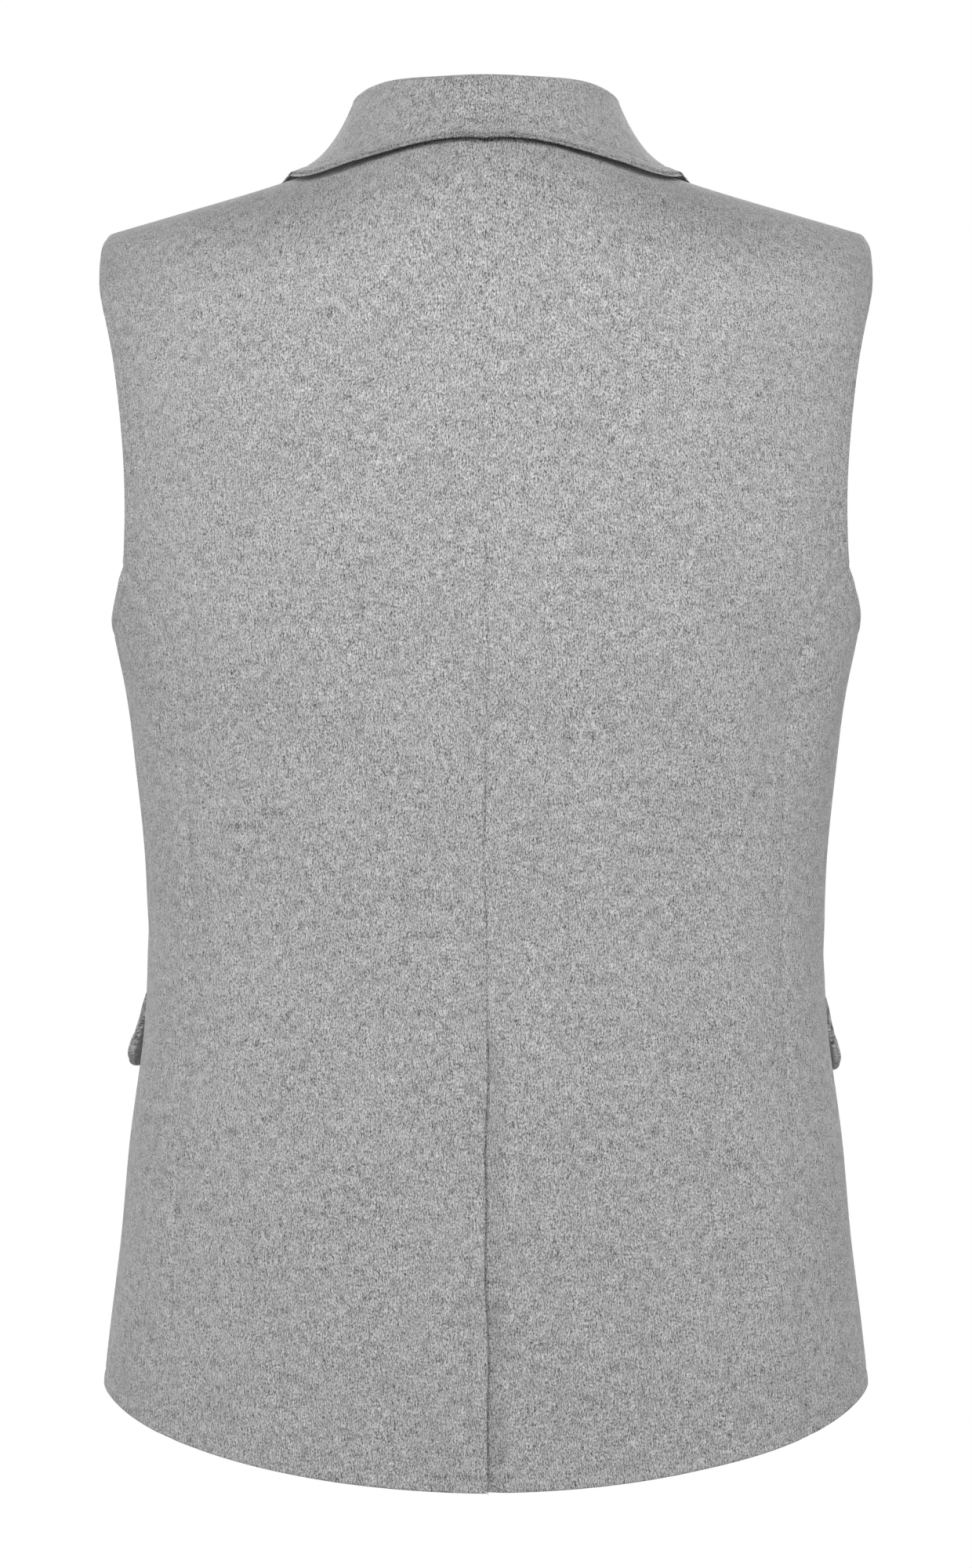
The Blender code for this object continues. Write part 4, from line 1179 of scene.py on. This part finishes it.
def makeLapel(side):
    node = f"lapel_{sideName[side]}"
    low = lapelPiece["endDown"][side]
    high = closing["gorgeDown"] + lapelPiece["gap"]
    parts = edgeSteps(lapelPiece["width"], lapelPiece["cell"], "hidden", "turned")
    levels = edgeSteps(lapelPiece["length"], lapelPiece["cell"], "turned", "turned")
    middle, nap = [], []
    for level in levels:
        down = low + (high - low) * level
        edgeDown = low + (lapelPiece["edge"][0][0] - low) * level
        own = float(rollX(down))
        innerX = own if side > 0 else max(own, lapelPiece["clear"] - own)
        width = max(float(lapelEdgeX(edgeDown)) - innerX, lapelPiece["least"])
        over, height = rolledSection(width, float(eased(down, *lapelPiece["flatLevels"][side])), parts)
        run = runAt(down + (edgeDown - down) * np.maximum(over, 0) / width)
        share = shareAt(np.array(innerX), run, True) - over / halfGirth(run)
        middle.append(placed(share, run, side, height))
        along = (share * halfGirth(run) + lapelPiece["napStart"]) * side
        nap.append(np.stack([along, -run, 0 * run], axis=-1))
    middle, nap = np.array(middle), np.array(nap)
    way = gridNormals(middle)
    way = way if (way[:, -8:] @ np.array([0, -1, 0.1])).sum() > 0 else -way  # out from the chest
    pastRoll = eased(np.arange(middle.shape[1]), *lapelPiece["workFrom"])
    edges = [
        (middle[:, -1], 0, 0, 1),
        (middle[-1], 0, 0, pastRoll),
        (middle[0], 0, 0, lapelPiece["endWork"]),
    ]
    outer, inner, paintedShade = turnedCloth(middle, way, edges)
    made = shell(f"wool_{node}", outer, inner, nap, paintedShade, woolFinish)
    asCloth(made, node, lapelPiece["flat"][side], outer)


# Collar: cut on the bias, its stand inside the neck and its fall turned down over the shoulders

collarPiece = {
    "sections": [
        # turn, neckRun, edgeX, edgeRun, rise
        (0.00, -0.0674, 0.0000, -0.0772, 0.0286),
        (0.25, -0.0623, 0.0384, -0.0704, 0.0298),
        (0.50, -0.0477, 0.0736, -0.0614, 0.0320),
        (0.75, -0.0258, 0.0988, -0.0518, 0.0317),
        (1.00, 0.0000, 0.1080, -0.0215, 0.0310),
        (1.25, 0.0360, 0.1140, 0.0300, 0.0286),
        (1.50, 0.0663, 0.1200, 0.0673, 0.0210),
        (1.75, 0.0910, 0.1150, 0.0955, 0.0110),
        (2.00, 0.1174, 0.0930, 0.1374, 0.0033),
    ],
    "flat": (0.560, 0.120),
    "fall": 0.052,
    "cell": 0.0030,
    "end": 1.99,
    "count": 150,
    "hollow": 2.8,
    "standSteps": 8,
    "standFoot": 0.00045,
    "standLean": [
        # turn, inward
        (0.0, 0.0004),
        (0.86, 0.0004),
        (1.02, -0.0013),
        (1.14, -0.0013),
        (1.36, 0.0004),
    ],
    "footPart": 0.12,
    "rollSteps": 12,
    "edgeLift": [
        # turn, off the shoulder
        (0.0, 0.0028),
        (0.25, 0.0034),
        (0.50, 0.0034),
        (0.75, 0.0016),
        (1.0, 0.0002),
        (1.3, 0.0002),
        (2.0, 0.0),
    ],
    "workFrom": (18, 24),  # columns over which the ends' turned edge begins, past the roll
    # painted shade over the whole collar, and a darker painted shade on the fall's underside towards its free
    # edge
    "shade": 0.42,
    "reverseShade": 1.8,
    "reverseReach": (0.010, 0.001),
    "napStart": (0.7, -0.2),
    "napBeyond": (0.0004, 0.0016),  # rows of raised hairs past the free edge, and one lying over it
    "napBehind": 0.0008,
    "napLift": 0.0003,
    # The painted shadow: a dark band painted on the back below the free edge
    "paintedShading": [
        # x, below the edge
        (0.0, 0.0003),
        (0.02, 0.0),
        (0.04, -0.0020),
        (0.065, -0.0026),
        (0.082, -0.0006),
        (0.097, -0.0004),
        (0.108, 0.0),
    ],
    "shadowFade": (0.0022, -0.0016),
    "shadowBehind": (-0.012, -0.006),
    "shadowReach": (0.114, 0.106),
    "shadowDepth": 2.0,
}
collarCurves = [curveOf(collarPiece["sections"], i) for i in range(1, 5)]


def signedSurface(x, run):
    # The wall behind the shoulder line where the run is below 0, and in front of it above 0
    at = np.abs(run)
    behind = shareAt(x, at, False)
    ahead = shareAt(x, at, True)
    share = np.where(run > 0, ahead, behind)
    return bodyPoint(share, at), bodyNormal(share, at)


def unit(vector):
    return vector / np.linalg.norm(vector)


def collarSection(turn, parts):
    # Up the stand, round the roll and down the fall; over the fronts the stand sinks away
    half, radius = cloth["thickness"] / 2, lapelPiece["rollRadius"]
    neckRun, edgeX, edgeRun, rise = (float(curve(turn)) for curve in collarCurves)
    baseX = float(rollX(downAt(neckRun)) if neckRun > 0 else necklineX(-neckRun))
    base, baseNormal = signedSurface(np.array(max(baseX, 1e-5)), np.array(neckRun))
    edge, edgeNormal = signedSurface(np.array(max(edgeX, 1e-5)), np.array(edgeRun))
    out = unit(edge - base)
    ahead = float(eased(turn, 1.0, 2.0))
    up = unit(np.array([0, 0, 1.0]) * (1 - ahead) - out * ahead)
    plane = unit(np.cross(out, baseNormal))
    across = unit(np.cross(up, plane))
    across = across if across @ (out + baseNormal) > 0 else -across
    lean = float(through(collarPiece["standLean"], turn))
    inset = lean * (1 - ahead) * out * np.array([1, 1, 0])
    foot = base + up * collarPiece["standFoot"] - across * half
    centre = base - inset + up * (rise - radius) + across * (radius - half) * ahead
    standTop = centre - across * radius
    stand = [foot + (standTop - foot) * part for part in np.linspace(0, 0.92, collarPiece["standSteps"])]
    turned = math.pi * np.arange(collarPiece["rollSteps"] + 1) / collarPiece["rollSteps"]
    roll = [centre + (up * math.sin(angle) - across * math.cos(angle)) * radius for angle in turned]
    footX = baseX + collarPiece["footPart"] * (edgeX - baseX)
    footRun = neckRun + collarPiece["footPart"] * (edgeRun - neckRun)
    firstFoot, _ = signedSurface(np.array(max(footX, 1e-5)), np.array(footRun))
    lift = lapelPiece["lift"] + half + float(through(collarPiece["edgeLift"], turn))
    x = np.maximum(footX + (edgeX - footX) * parts, 1e-5)
    run = footRun + (edgeRun - footRun) * parts
    feet, _ = signedSurface(x, run)
    rest = ((1 - parts) ** collarPiece["hollow"])[:, None]
    fall = feet + (roll[-1] - firstFoot) * rest + edgeNormal * lift * (1 - rest)
    return np.array([*stand, *roll, *fall])


def makeCollar():
    parts = edgeSteps(collarPiece["fall"], collarPiece["cell"], "hidden", "turned")[1:]
    turns = np.linspace(0, collarPiece["end"], collarPiece["count"])
    left = np.array([collarSection(float(turn), parts) for turn in turns])
    middle = np.concatenate([left[:0:-1] * np.array([-1, 1, 1]), left])
    way = gridNormals(middle)
    centre = middle.mean(axis=(0, 1)) - np.array([0, 0, 0.05])
    way = way if ((middle[:, -6:] - centre) * way[:, -6:]).sum() > 0 else -way  # out from the neck
    pastRoll = eased(np.arange(middle.shape[1]), *collarPiece["workFrom"])
    edges = [(middle[:, -1], 0, 0, 1), (middle[0], 0, 0, pastRoll), (middle[-1], 0, 0, pastRoll)]
    outer, inner, paintedShade = turnedCloth(middle, way, edges)
    along = np.cumsum(np.linalg.norm(np.diff(middle, axis=0, prepend=middle[:1]), axis=2).mean(axis=1))
    across = np.cumsum(np.linalg.norm(np.diff(middle, axis=1, prepend=middle[:, :1]), axis=2), axis=1)
    alongStart, acrossStart = collarPiece["napStart"]
    nap = np.stack([along[:, None] + alongStart + 0 * across, across + acrossStart, 0 * across], axis=-1)
    # Painted shade over the whole collar, and on the fall's underside near its free edge
    shaded = collarPiece["reverseShade"] * eased(across[:, -1:] - across, *collarPiece["reverseReach"])
    made = shell("wool_collar", outer, inner, nap, paintedShade + collarPiece["shade"], woolFinish, shaded)
    asCloth(made, "collar", collarPiece["flat"], outer)
    edge, up = middle[:, -1], way[:, -1]
    beyond = edge - middle[:, -4]
    beyond = beyond / np.linalg.norm(beyond, axis=1, keepdims=True)
    above = up * (cloth["thickness"] / 2 + collarPiece["napLift"])
    rims["collar"] = [(edge + beyond * distance, up) for distance in collarPiece["napBeyond"]]
    rims["collar"].append((edge + above - beyond * collarPiece["napBehind"], up))


# Pocket flaps, sprung a little off the hips

flapPiece = {
    "flat": (0.152, 0.048),
    "top": {1: 0.4686, -1: 0.4708},
    "rear": 0.1893,
    "length": 0.150,
    "height": 0.044,
    "cell": (0.0033, 0.0030),
    "thickness": 0.0040,
    "corner": 0.012,
    "spring": {1: 0.0074, -1: 0.0052},
    "springPower": 1.15,
    "topSeam": 0.8,
    "napStart": 0.9,
}


def makeFlap(side):
    node = f"flap_{sideName[side]}"
    cellAlong, cellDown = flapPiece["cell"]
    columns = edgeSteps(flapPiece["length"], cellAlong, "turned", "turned")
    rows = edgeSteps(flapPiece["height"], cellDown, "seam", "turned")[:, None]
    runTop = runAt(flapPiece["top"][side])
    rear = shareAt(flapPiece["rear"], runTop, True)
    near = np.minimum(columns, 1 - columns) * flapPiece["length"] / flapPiece["corner"]
    corner = np.clip(1 - near, 0, 1)
    height = flapPiece["height"] - flapPiece["corner"] * (1 - np.sqrt(1 - corner**2))
    run = runTop + rows * height
    share = rear + columns * flapPiece["length"] / halfGirth(run)
    off = lapelPiece["lift"] + flapPiece["spring"][side] * rows ** flapPiece["springPower"] + 0 * run
    base = placed(share, run, side, off + flapPiece["thickness"])
    way = outward(share, run, side)
    edges = [
        (base[:, 0], 0, 0, 1),
        (base[:, -1], 0, 0, 1),
        (base[-1], 0, 0, 1),
        (base[0], flapPiece["topSeam"], 1, 0),
    ]
    raised, left, paintedShade = worked(base, edges)
    thinned = flapPiece["thickness"] / 2 * (1 - left)
    outer = base + way * (raised - thinned)[..., None]
    inner = base + way * (thinned - flapPiece["thickness"])[..., None]
    nap = np.stack([(share * halfGirth(run) + flapPiece["napStart"]) * side, -run, 0 * run], axis=-1)
    made = shell(f"wool_{node}", outer, inner, nap, paintedShade, woolFinish)
    asCloth(made, node, flapPiece["flat"], outer)


# Buttons and buttonholes

buttons = {
    "radius": 0.0115,
    "thickness": 0.0040,
    "levels": {"upper": 0.345, "lower": 0.447},
    "off": 0.0006,
    "rimStart": 0.88,  # parts of the radius
    "dish": (0.68, 0.82),
    "rimDrop": 0.10,  # parts of the thickness
    "dishLevel": 0.84,
    "dishHollow": 0.00012,
    "back": [
        # part of the radius, part of the thickness
        (1.0, 0.72),
        (1.0, 0.35),
        (0.965, 0.20),
        (0.90, 0.08),
        (0.78, 0.0),
        (0.5, 0.0),
        (0.2, 0.0),
    ],
    "holeRadius": 0.00115,
    "holeRing": 0.0022,
    "holeDepth": 0.0026,
    "innerRings": 24,
    "rings": 46,
    "spokes": 96,
    "sharpAngle": 50,
    "thread": 0.00042,
    "threadRise": 0.00055,
    "threadEnd": 0.0016,
    "strands": (-0.9, 0, 0.9),  # thread widths beside the middle of a bar
}


def buttonFace(r, angle):
    # The button's top: a sunk face inside a rounded rim, with four holes
    part = r / buttons["radius"]
    full = buttons["thickness"]
    outward = np.clip((part - buttons["rimStart"]) / (1 - buttons["rimStart"]), 0, 1)
    rim = full * (1 - buttons["rimDrop"] * outward**2)
    dish = buttons["dishLevel"] * full - buttons["dishHollow"] * bell(part, 0.5)
    height = dish + (rim - dish) * eased(part, *buttons["dish"])
    x, y = r * np.cos(angle), r * np.sin(angle)
    ring, radius = buttons["holeRing"], buttons["holeRadius"]
    for quarter in range(4):
        middle = math.pi / 4 + quarter * math.pi / 2
        away = np.hypot(x - ring * math.cos(middle), y - ring * math.sin(middle))
        height = height - buttons["holeDepth"] * eased(away, radius * 1.12, radius * 0.86)
    return height


def makeButton(place, down):
    radius, full, spokes = buttons["radius"], buttons["thickness"], buttons["spokes"]
    holes = np.linspace(0, buttons["holeRing"] + 1.3 * buttons["holeRadius"], buttons["innerRings"])[1:]
    beyond = np.linspace(holes[-1], radius, buttons["rings"] - len(holes))[1:]
    angle = np.arange(spokes) * 2 * math.pi / spokes
    rows = []
    for r in [*holes, *beyond]:
        face = buttonFace(r + 0 * angle, angle)
        rows.append(np.stack([r * np.cos(angle), r * np.sin(angle), face], axis=1))
    for part, level in buttons["back"]:
        r = part * radius
        rows.append(np.stack([r * np.cos(angle), r * np.sin(angle), level * full + 0 * angle], axis=1))
    points = np.concatenate([[[0, 0, float(buttonFace(0.0, 0.0))]], *rows, [[0, 0, 0]]])
    faces = []
    last = 1 + (len(rows) - 1) * spokes
    for k in range(spokes):
        after = (k + 1) % spokes
        faces.append((0, 1 + k, 1 + after))
        for row in range(len(rows) - 1):
            a, b = 1 + row * spokes, 1 + (row + 1) * spokes
            faces.append((a + k, b + k, b + after, a + after))
        faces.append((last + after, last + k, len(points) - 1))
    run = runAt(down)
    normal = Vector(bodyNormal(1.0, run))
    seat = placed(1.0, run, 1, buttons["off"])
    turned = np.array(Vector((0, 0, 1)).rotation_difference(normal).to_matrix()).T
    name = f"horn_button_{place}"
    mesh = bpy.data.meshes.new(name)
    mesh.from_pydata([tuple(point) for point in points @ turned + seat], [], faces)
    mesh.materials.append(hornFinish)
    mesh.shade_smooth()
    mesh.set_sharp_from_angle(angle=math.radians(buttons["sharpAngle"]))
    made = inScene(name, mesh)
    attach(made, "root")
    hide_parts(f"button_{place}")
    # The thread crosses the holes in two bars of three strands, and dips into them at its ends
    paths = []
    reach = buttons["holeRing"] / math.sqrt(2)
    t = np.linspace(0, 1, 13)
    for bar in (-1, 1):
        for strand in buttons["strands"]:
            x = -reach + 2 * reach * t
            y = bar * reach + strand * buttons["thread"] + 0 * t
            bow = buttons["threadRise"] * np.sin(math.pi * t) ** 0.6
            z = full * buttons["dishLevel"] + bow - buttons["threadEnd"] * np.abs(2 * t - 1) ** 6
            paths.append(np.stack([x, y, z], axis=1) @ turned + seat)
    threads(f"button_thread_{place}", paths, buttons["thread"])


def pathObject(name, paths, ups=None):
    # Paths as loose edges, for a Geometry Nodes tree to follow; up is the cloth's outward way at each point
    points = np.concatenate(paths)
    edges, start = [], 0
    for path in paths:
        edges += [(start + i, start + i + 1) for i in range(len(path) - 1)]
        start += len(path)
    mesh = bpy.data.meshes.new(name)
    mesh.from_pydata([tuple(p) for p in points], edges, [])
    if ups is not None:
        upData = mesh.attributes.new("up", "FLOAT_VECTOR", "POINT")
        upData.data.foreach_set("vector", np.concatenate(ups).ravel())
    return inScene(name, mesh)


def nodeTree(name, inputs):
    # A Geometry Nodes tree with named inputs, each with its kind and its first value
    tree = bpy.data.node_groups.new(name, "GeometryNodeTree")
    newSocket = tree.interface.new_socket
    sockets = {"Geometry": newSocket("Geometry", in_out="INPUT", socket_type="NodeSocketGeometry")}
    for label, (kind, value) in inputs.items():
        sockets[label] = newSocket(label, in_out="INPUT", socket_type=kind)
        if value is not None:
            sockets[label].default_value = value
    newSocket("Geometry", in_out="OUTPUT", socket_type="NodeSocketGeometry")
    return tree, addNode(tree, "NodeGroupInput"), addNode(tree, "NodeGroupOutput"), sockets


def grown(made, tree, values, sockets):
    # Runs a tree on an object and leaves the plain mesh that it makes
    modifier = made.modifiers.new(tree.name, "NODES")
    modifier.node_group = tree
    for label, value in values.items():
        modifier[sockets[label].identifier] = value
    graph = bpy.context.evaluated_depsgraph_get()
    mesh = bpy.data.meshes.new_from_object(made.evaluated_get(graph))
    made.modifiers.remove(modifier)
    made.data = mesh
    mesh.name = made.name
    return made


# A thread is a round tube along each path
threadInputs = {"Thickness": ("NodeSocketFloat", 0.0004), "Finish": ("NodeSocketMaterial", None)}
threadTree, threadIn, threadOut, threadSockets = nodeTree("thread_along_paths", threadInputs)
threadCurve = addNode(threadTree, "GeometryNodeMeshToCurve", {}, {"Mesh": threadIn.outputs["Geometry"]})
halving = {"operation": "MULTIPLY", 1: 0.5}
threadRadius = addNode(threadTree, "ShaderNodeMath", halving, {0: threadIn.outputs["Thickness"]})
threadRound = addNode(
    threadTree,
    "GeometryNodeCurvePrimitiveCircle",
    {"mode": "RADIUS", "Resolution": 8},
    {"Radius": threadRadius.outputs[0]},
)
threadTube = addNode(
    threadTree,
    "GeometryNodeCurveToMesh",
    {"Fill Caps": True},
    {"Curve": threadCurve.outputs[0], "Profile Curve": threadRound.outputs[0]},
)
threadSmooth = addNode(threadTree, "GeometryNodeSetShadeSmooth", {}, {"Geometry": threadTube.outputs[0]})
threadReal = addNode(threadTree, "GeometryNodeRealizeInstances", {}, {"Geometry": threadSmooth.outputs[0]})
threadDressing = {"Geometry": threadReal.outputs[0], "Material": threadIn.outputs["Finish"]}
threadDressed = addNode(threadTree, "GeometryNodeSetMaterial", {}, threadDressing)
threadTree.links.new(threadDressed.outputs[0], threadOut.inputs["Geometry"])


def threads(name, paths, thickness):
    made = pathObject(name, paths)
    grown(made, threadTree, {"Thickness": thickness, "Finish": twistFinish}, threadSockets)
    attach(made, "root")


# A stitch, and a hair, is a short grain laid on the cloth at each step of a path, a little uneven in its turn
stitchInputs = {
    "Spacing": ("NodeSocketFloat", 0.001),
    "Length": ("NodeSocketFloat", 0.001),
    "Width": ("NodeSocketFloat", 0.0005),
    "Turn": ("NodeSocketFloat", 0.0),
    "Unevenness": ("NodeSocketFloat", 0.1),
    "Seed": ("NodeSocketInt", 3),
    "Finish": ("NodeSocketMaterial", None),
}
stitchTree, stitchIn, stitchOut, stitchSockets = nodeTree("stitches_along_paths", stitchInputs)
stitchCurve = addNode(stitchTree, "GeometryNodeMeshToCurve", {}, {"Mesh": stitchIn.outputs["Geometry"]})
stitchSteps = {"Curve": stitchCurve.outputs[0], "Length": stitchIn.outputs["Spacing"]}
stitchPlaces = addNode(stitchTree, "GeometryNodeCurveToPoints", {"mode": "LENGTH"}, stitchSteps)
stitchUp = addNode(stitchTree, "GeometryNodeInputNamedAttribute", {"data_type": "FLOAT_VECTOR", "Name": "up"})
stitchStand = addNode(
    stitchTree,
    "FunctionNodeAlignRotationToVector",
    {"axis": "Z"},
    {"Vector": stitchUp.outputs["Attribute"]},
)
stitchAlong = addNode(
    stitchTree,
    "FunctionNodeAlignRotationToVector",
    {"axis": "X", "pivot_axis": "Z"},
    {"Rotation": stitchStand.outputs[0], "Vector": stitchPlaces.outputs["Tangent"]},
)
stitchWobble = addNode(
    stitchTree,
    "FunctionNodeRandomValue",
    {"data_type": "FLOAT"},
    {"Max": stitchIn.outputs["Unevenness"], "Seed": stitchIn.outputs["Seed"]},
)
stitchTurns = {0: stitchIn.outputs["Turn"], 1: stitchWobble.outputs[1]}
stitchSwing = addNode(stitchTree, "ShaderNodeMath", {"operation": "ADD"}, stitchTurns)
stitchTurn = addNode(stitchTree, "ShaderNodeCombineXYZ", {}, {"Z": stitchSwing.outputs[0]})
stitchTurned = addNode(
    stitchTree,
    "FunctionNodeRotateRotation",
    {"rotation_space": "LOCAL"},
    {"Rotation": stitchAlong.outputs[0], "Rotate By": stitchTurn.outputs[0]},
)
stitchGrain = addNode(stitchTree, "GeometryNodeMeshIcoSphere", {"Radius": 0.5, "Subdivisions": 1})
stitchWidth = stitchIn.outputs["Width"]
stitchSizes = {"X": stitchIn.outputs["Length"], "Y": stitchWidth, "Z": stitchWidth}
stitchSize = addNode(stitchTree, "ShaderNodeCombineXYZ", {}, stitchSizes)
stitchLaid = addNode(
    stitchTree,
    "GeometryNodeInstanceOnPoints",
    {},
    {
        "Points": stitchPlaces.outputs[0],
        "Instance": stitchGrain.outputs["Mesh"],
        "Rotation": stitchTurned.outputs[0],
        "Scale": stitchSize.outputs[0],
    },
)
stitchSmooth = addNode(stitchTree, "GeometryNodeSetShadeSmooth", {}, {"Geometry": stitchLaid.outputs[0]})
stitchReal = addNode(stitchTree, "GeometryNodeRealizeInstances", {}, {"Geometry": stitchSmooth.outputs[0]})
stitchDressing = {"Geometry": stitchReal.outputs[0], "Material": stitchIn.outputs["Finish"]}
stitchDressed = addNode(stitchTree, "GeometryNodeSetMaterial", {}, stitchDressing)
stitchTree.links.new(stitchDressed.outputs[0], stitchOut.inputs["Geometry"])


def stitches(name, paths, ups, sizes, seed, finish):
    made = pathObject(name, paths, ups)
    grown(made, stitchTree, {**sizes, "Seed": seed, "Finish": finish}, stitchSockets)
    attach(made, "root")
    print(f"{name}: {len(made.data.polygons)} faces")


# The brushed nap along an edge: hairs lying across it at all slants

fuzz = {
    "spacing": {"collar": 0.00042, "vent": 0.00042 * 1.6},
    "seeds": {"collar": 11, "vent": 12},
    "length": 0.0035,
    "width": 0.00020,
    "spread": 2.0,
}


def makeFuzz(edge):
    sizes = {
        "Spacing": fuzz["spacing"][edge],
        "Length": fuzz["length"],
        "Width": fuzz["width"],
        "Turn": math.pi / 2 - fuzz["spread"] / 2,
        "Unevenness": fuzz["spread"],
    }
    paths, ups = zip(*rims[edge])
    stitches(f"nap_{edge}", paths, ups, sizes, fuzz["seeds"][edge], hairFinish)


# Worked buttonholes: stitches close together across a long narrow loop, with the cut between them

buttonholes = {
    "start": -0.0035,
    "length": 0.0250,
    "halfWidth": 0.00105,
    "off": 0.00012,
    "seeds": {"upper": 4, "lower": 5},
    "stitch": {
        "Spacing": 0.00052,
        "Length": 0.0019,
        "Width": 0.00050,
        "Turn": math.pi / 2,
        "Unevenness": 0.12,
    },
}


def makeButtonhole(place, down):
    paths, ups = [], []
    for way in (1, -1):
        t = np.linspace(0, 1, 40)
        x = buttonholes["start"] + buttonholes["length"] * t
        run = runAt(down + way * buttonholes["halfWidth"] * (1 - np.abs(2 * t - 1) ** 8))
        share = shareAt(x, run, True)
        paths.append(placed(share, run, 1, buttonholes["off"]))
        ups.append(outward(share, run, 1))
    seed = buttonholes["seeds"][place]
    stitches(f"buttonhole_{place}", paths, ups, buttonholes["stitch"], seed, twistFinish)


for side in (1, -1):
    makeBack(side)
    makeSide(side)
    makeFront(side)
    makeLapel(side)
    makeFlap(side)
makeCollar()
for place, down in buttons["levels"].items():
    makeButton(place, down)
    makeButtonhole(place, down)
makeFuzz("collar")
makeFuzz("vent")
print("pieces: made")


# Studio: a long lens behind the wearer at the height of the waist, broad soft light from the same side, and a
# weaker light in front for the other views

studio = {
    "camera": (0.0, 3.0, -0.3502),
    "lens": 121.9,
    "sensor": 36,
    "floorLevel": -1.50,
    "floorRadius": 2.2,
    "floorSides": 96,
    "floorFading": (0.25, 1.7),
    "surround": 0.165,
    "lights": [
        # name, place, aim, size across, size up, watts, colour
        ("key", (0.0, 1.75, 0.55), (0.0, 0.0, 0.0), 1.2, 0.7, 43.5, "#ffffff"),
        ("fill", (-0.05, 2.40, -0.15), (0.0, 0.0, -0.35), 1.3, 1.2, 19, "#ffffff"),
        ("sideLeft", (2.3, 0.55, -0.95), (0.0, 0.0, -0.70), 1.2, 0.9, 20, "#ffffff"),
        ("sideRight", (-2.3, 0.55, -0.95), (0.0, 0.0, -0.70), 1.2, 0.9, 17, "#ffffff"),
        ("front", (-0.5, -3.0, 0.35), (0.0, 0.0, -0.35), 2.4, 2.0, 70, "#ffffff"),
        ("frontFill", (1.7, -2.1, 0.1), (0.0, 0.0, -0.35), 1.6, 2.0, 22, "#ffffff"),
    ],
}

lens = bpy.data.cameras.new("camera")
lens.lens = studio["lens"]
lens.sensor_width = studio["sensor"]
camera = inScene("camera", lens)
camera.location = studio["camera"]
camera.rotation_euler = (math.pi / 2, 0, math.pi)
bpy.context.scene.camera = camera

for name, place, aim, across, up, watts, code in studio["lights"]:
    light = bpy.data.lights.new(name, "AREA")
    light.shape = "RECTANGLE"
    light.size = across
    light.size_y = up
    light.energy = watts
    light.color = colourOf(code)[:3]
    lamp = inScene(name, light)
    lamp.location = place
    lamp.rotation_euler = (Vector(aim) - Vector(place)).to_track_quat("-Z", "Y").to_euler()

world = bpy.data.worlds.new("studio")
bpy.context.scene.world = world
world.use_nodes = True
world.node_tree.nodes.clear()
seen = addNode(world.node_tree, "ShaderNodeLightPath")
brightness = addNode(
    world.node_tree,
    "ShaderNodeMapRange",
    {"To Min": studio["surround"], "To Max": 1.0},
    {"Value": seen.outputs["Is Camera Ray"]},
)
white = {"Color": (1, 1, 1, 1)}
surround = addNode(world.node_tree, "ShaderNodeBackground", white, {"Strength": brightness.outputs[0]})
addNode(world.node_tree, "ShaderNodeOutputWorld", {}, {"Surface": surround.outputs[0]})


def mattPaper(name):
    # White paper, matt and faintly uneven. It thins out to nothing well before its rim, so it has no horizon.
    paper = {"shades": ("#f2f2f1", "#f8f8f8"), "unevenness": 0.333, "roughness": 0.8}
    made, tree = newMaterial(name)
    place = addNode(tree, "ShaderNodeTexCoord")
    grain = {"Scale": 1 / paper["unevenness"]}
    noise = addNode(tree, "ShaderNodeTexNoise", grain, {"Vector": place.outputs["Object"]})
    ramp = addNode(tree, "ShaderNodeValToRGB", {}, {"Fac": noise.outputs[0]})
    for element, code in zip(ramp.color_ramp.elements, paper["shades"]):
        element.color = colourOf(code)
    away = addNode(tree, "ShaderNodeVectorMath", {"operation": "LENGTH"}, {0: place.outputs["Object"]})
    fading = dict(zip(("From Min", "From Max"), studio["floorFading"]))
    fading.update({"interpolation_type": "SMOOTHERSTEP", "To Min": 1.0, "To Max": 0.0})
    solid = addNode(tree, "ShaderNodeMapRange", fading, {"Value": away.outputs["Value"]})
    sources = {"Base Color": ramp.outputs["Color"], "Alpha": solid.outputs[0]}
    shader = addNode(tree, "ShaderNodeBsdfPrincipled", {"Roughness": paper["roughness"]}, sources)
    addNode(tree, "ShaderNodeOutputMaterial", {}, {"Surface": shader.outputs[0]})
    return made


floorTurns = np.arange(studio["floorSides"]) * 2 * math.pi / studio["floorSides"]
floorRing = studio["floorRadius"] * np.stack([np.cos(floorTurns), np.sin(floorTurns), 0 * floorTurns], axis=1)
floorMesh = bpy.data.meshes.new("floor")
floorMesh.from_pydata(floorRing.tolist(), [], [tuple(range(studio["floorSides"]))])
floorMesh.materials.append(mattPaper("matt_white_paper"))
floor = inScene("floor", floorMesh)
floor.location = (0, 0, studio["floorLevel"])

bpy.context.scene.view_settings.view_transform = "Standard"
bpy.context.scene.view_settings.look = "None"
print("studio: ready")
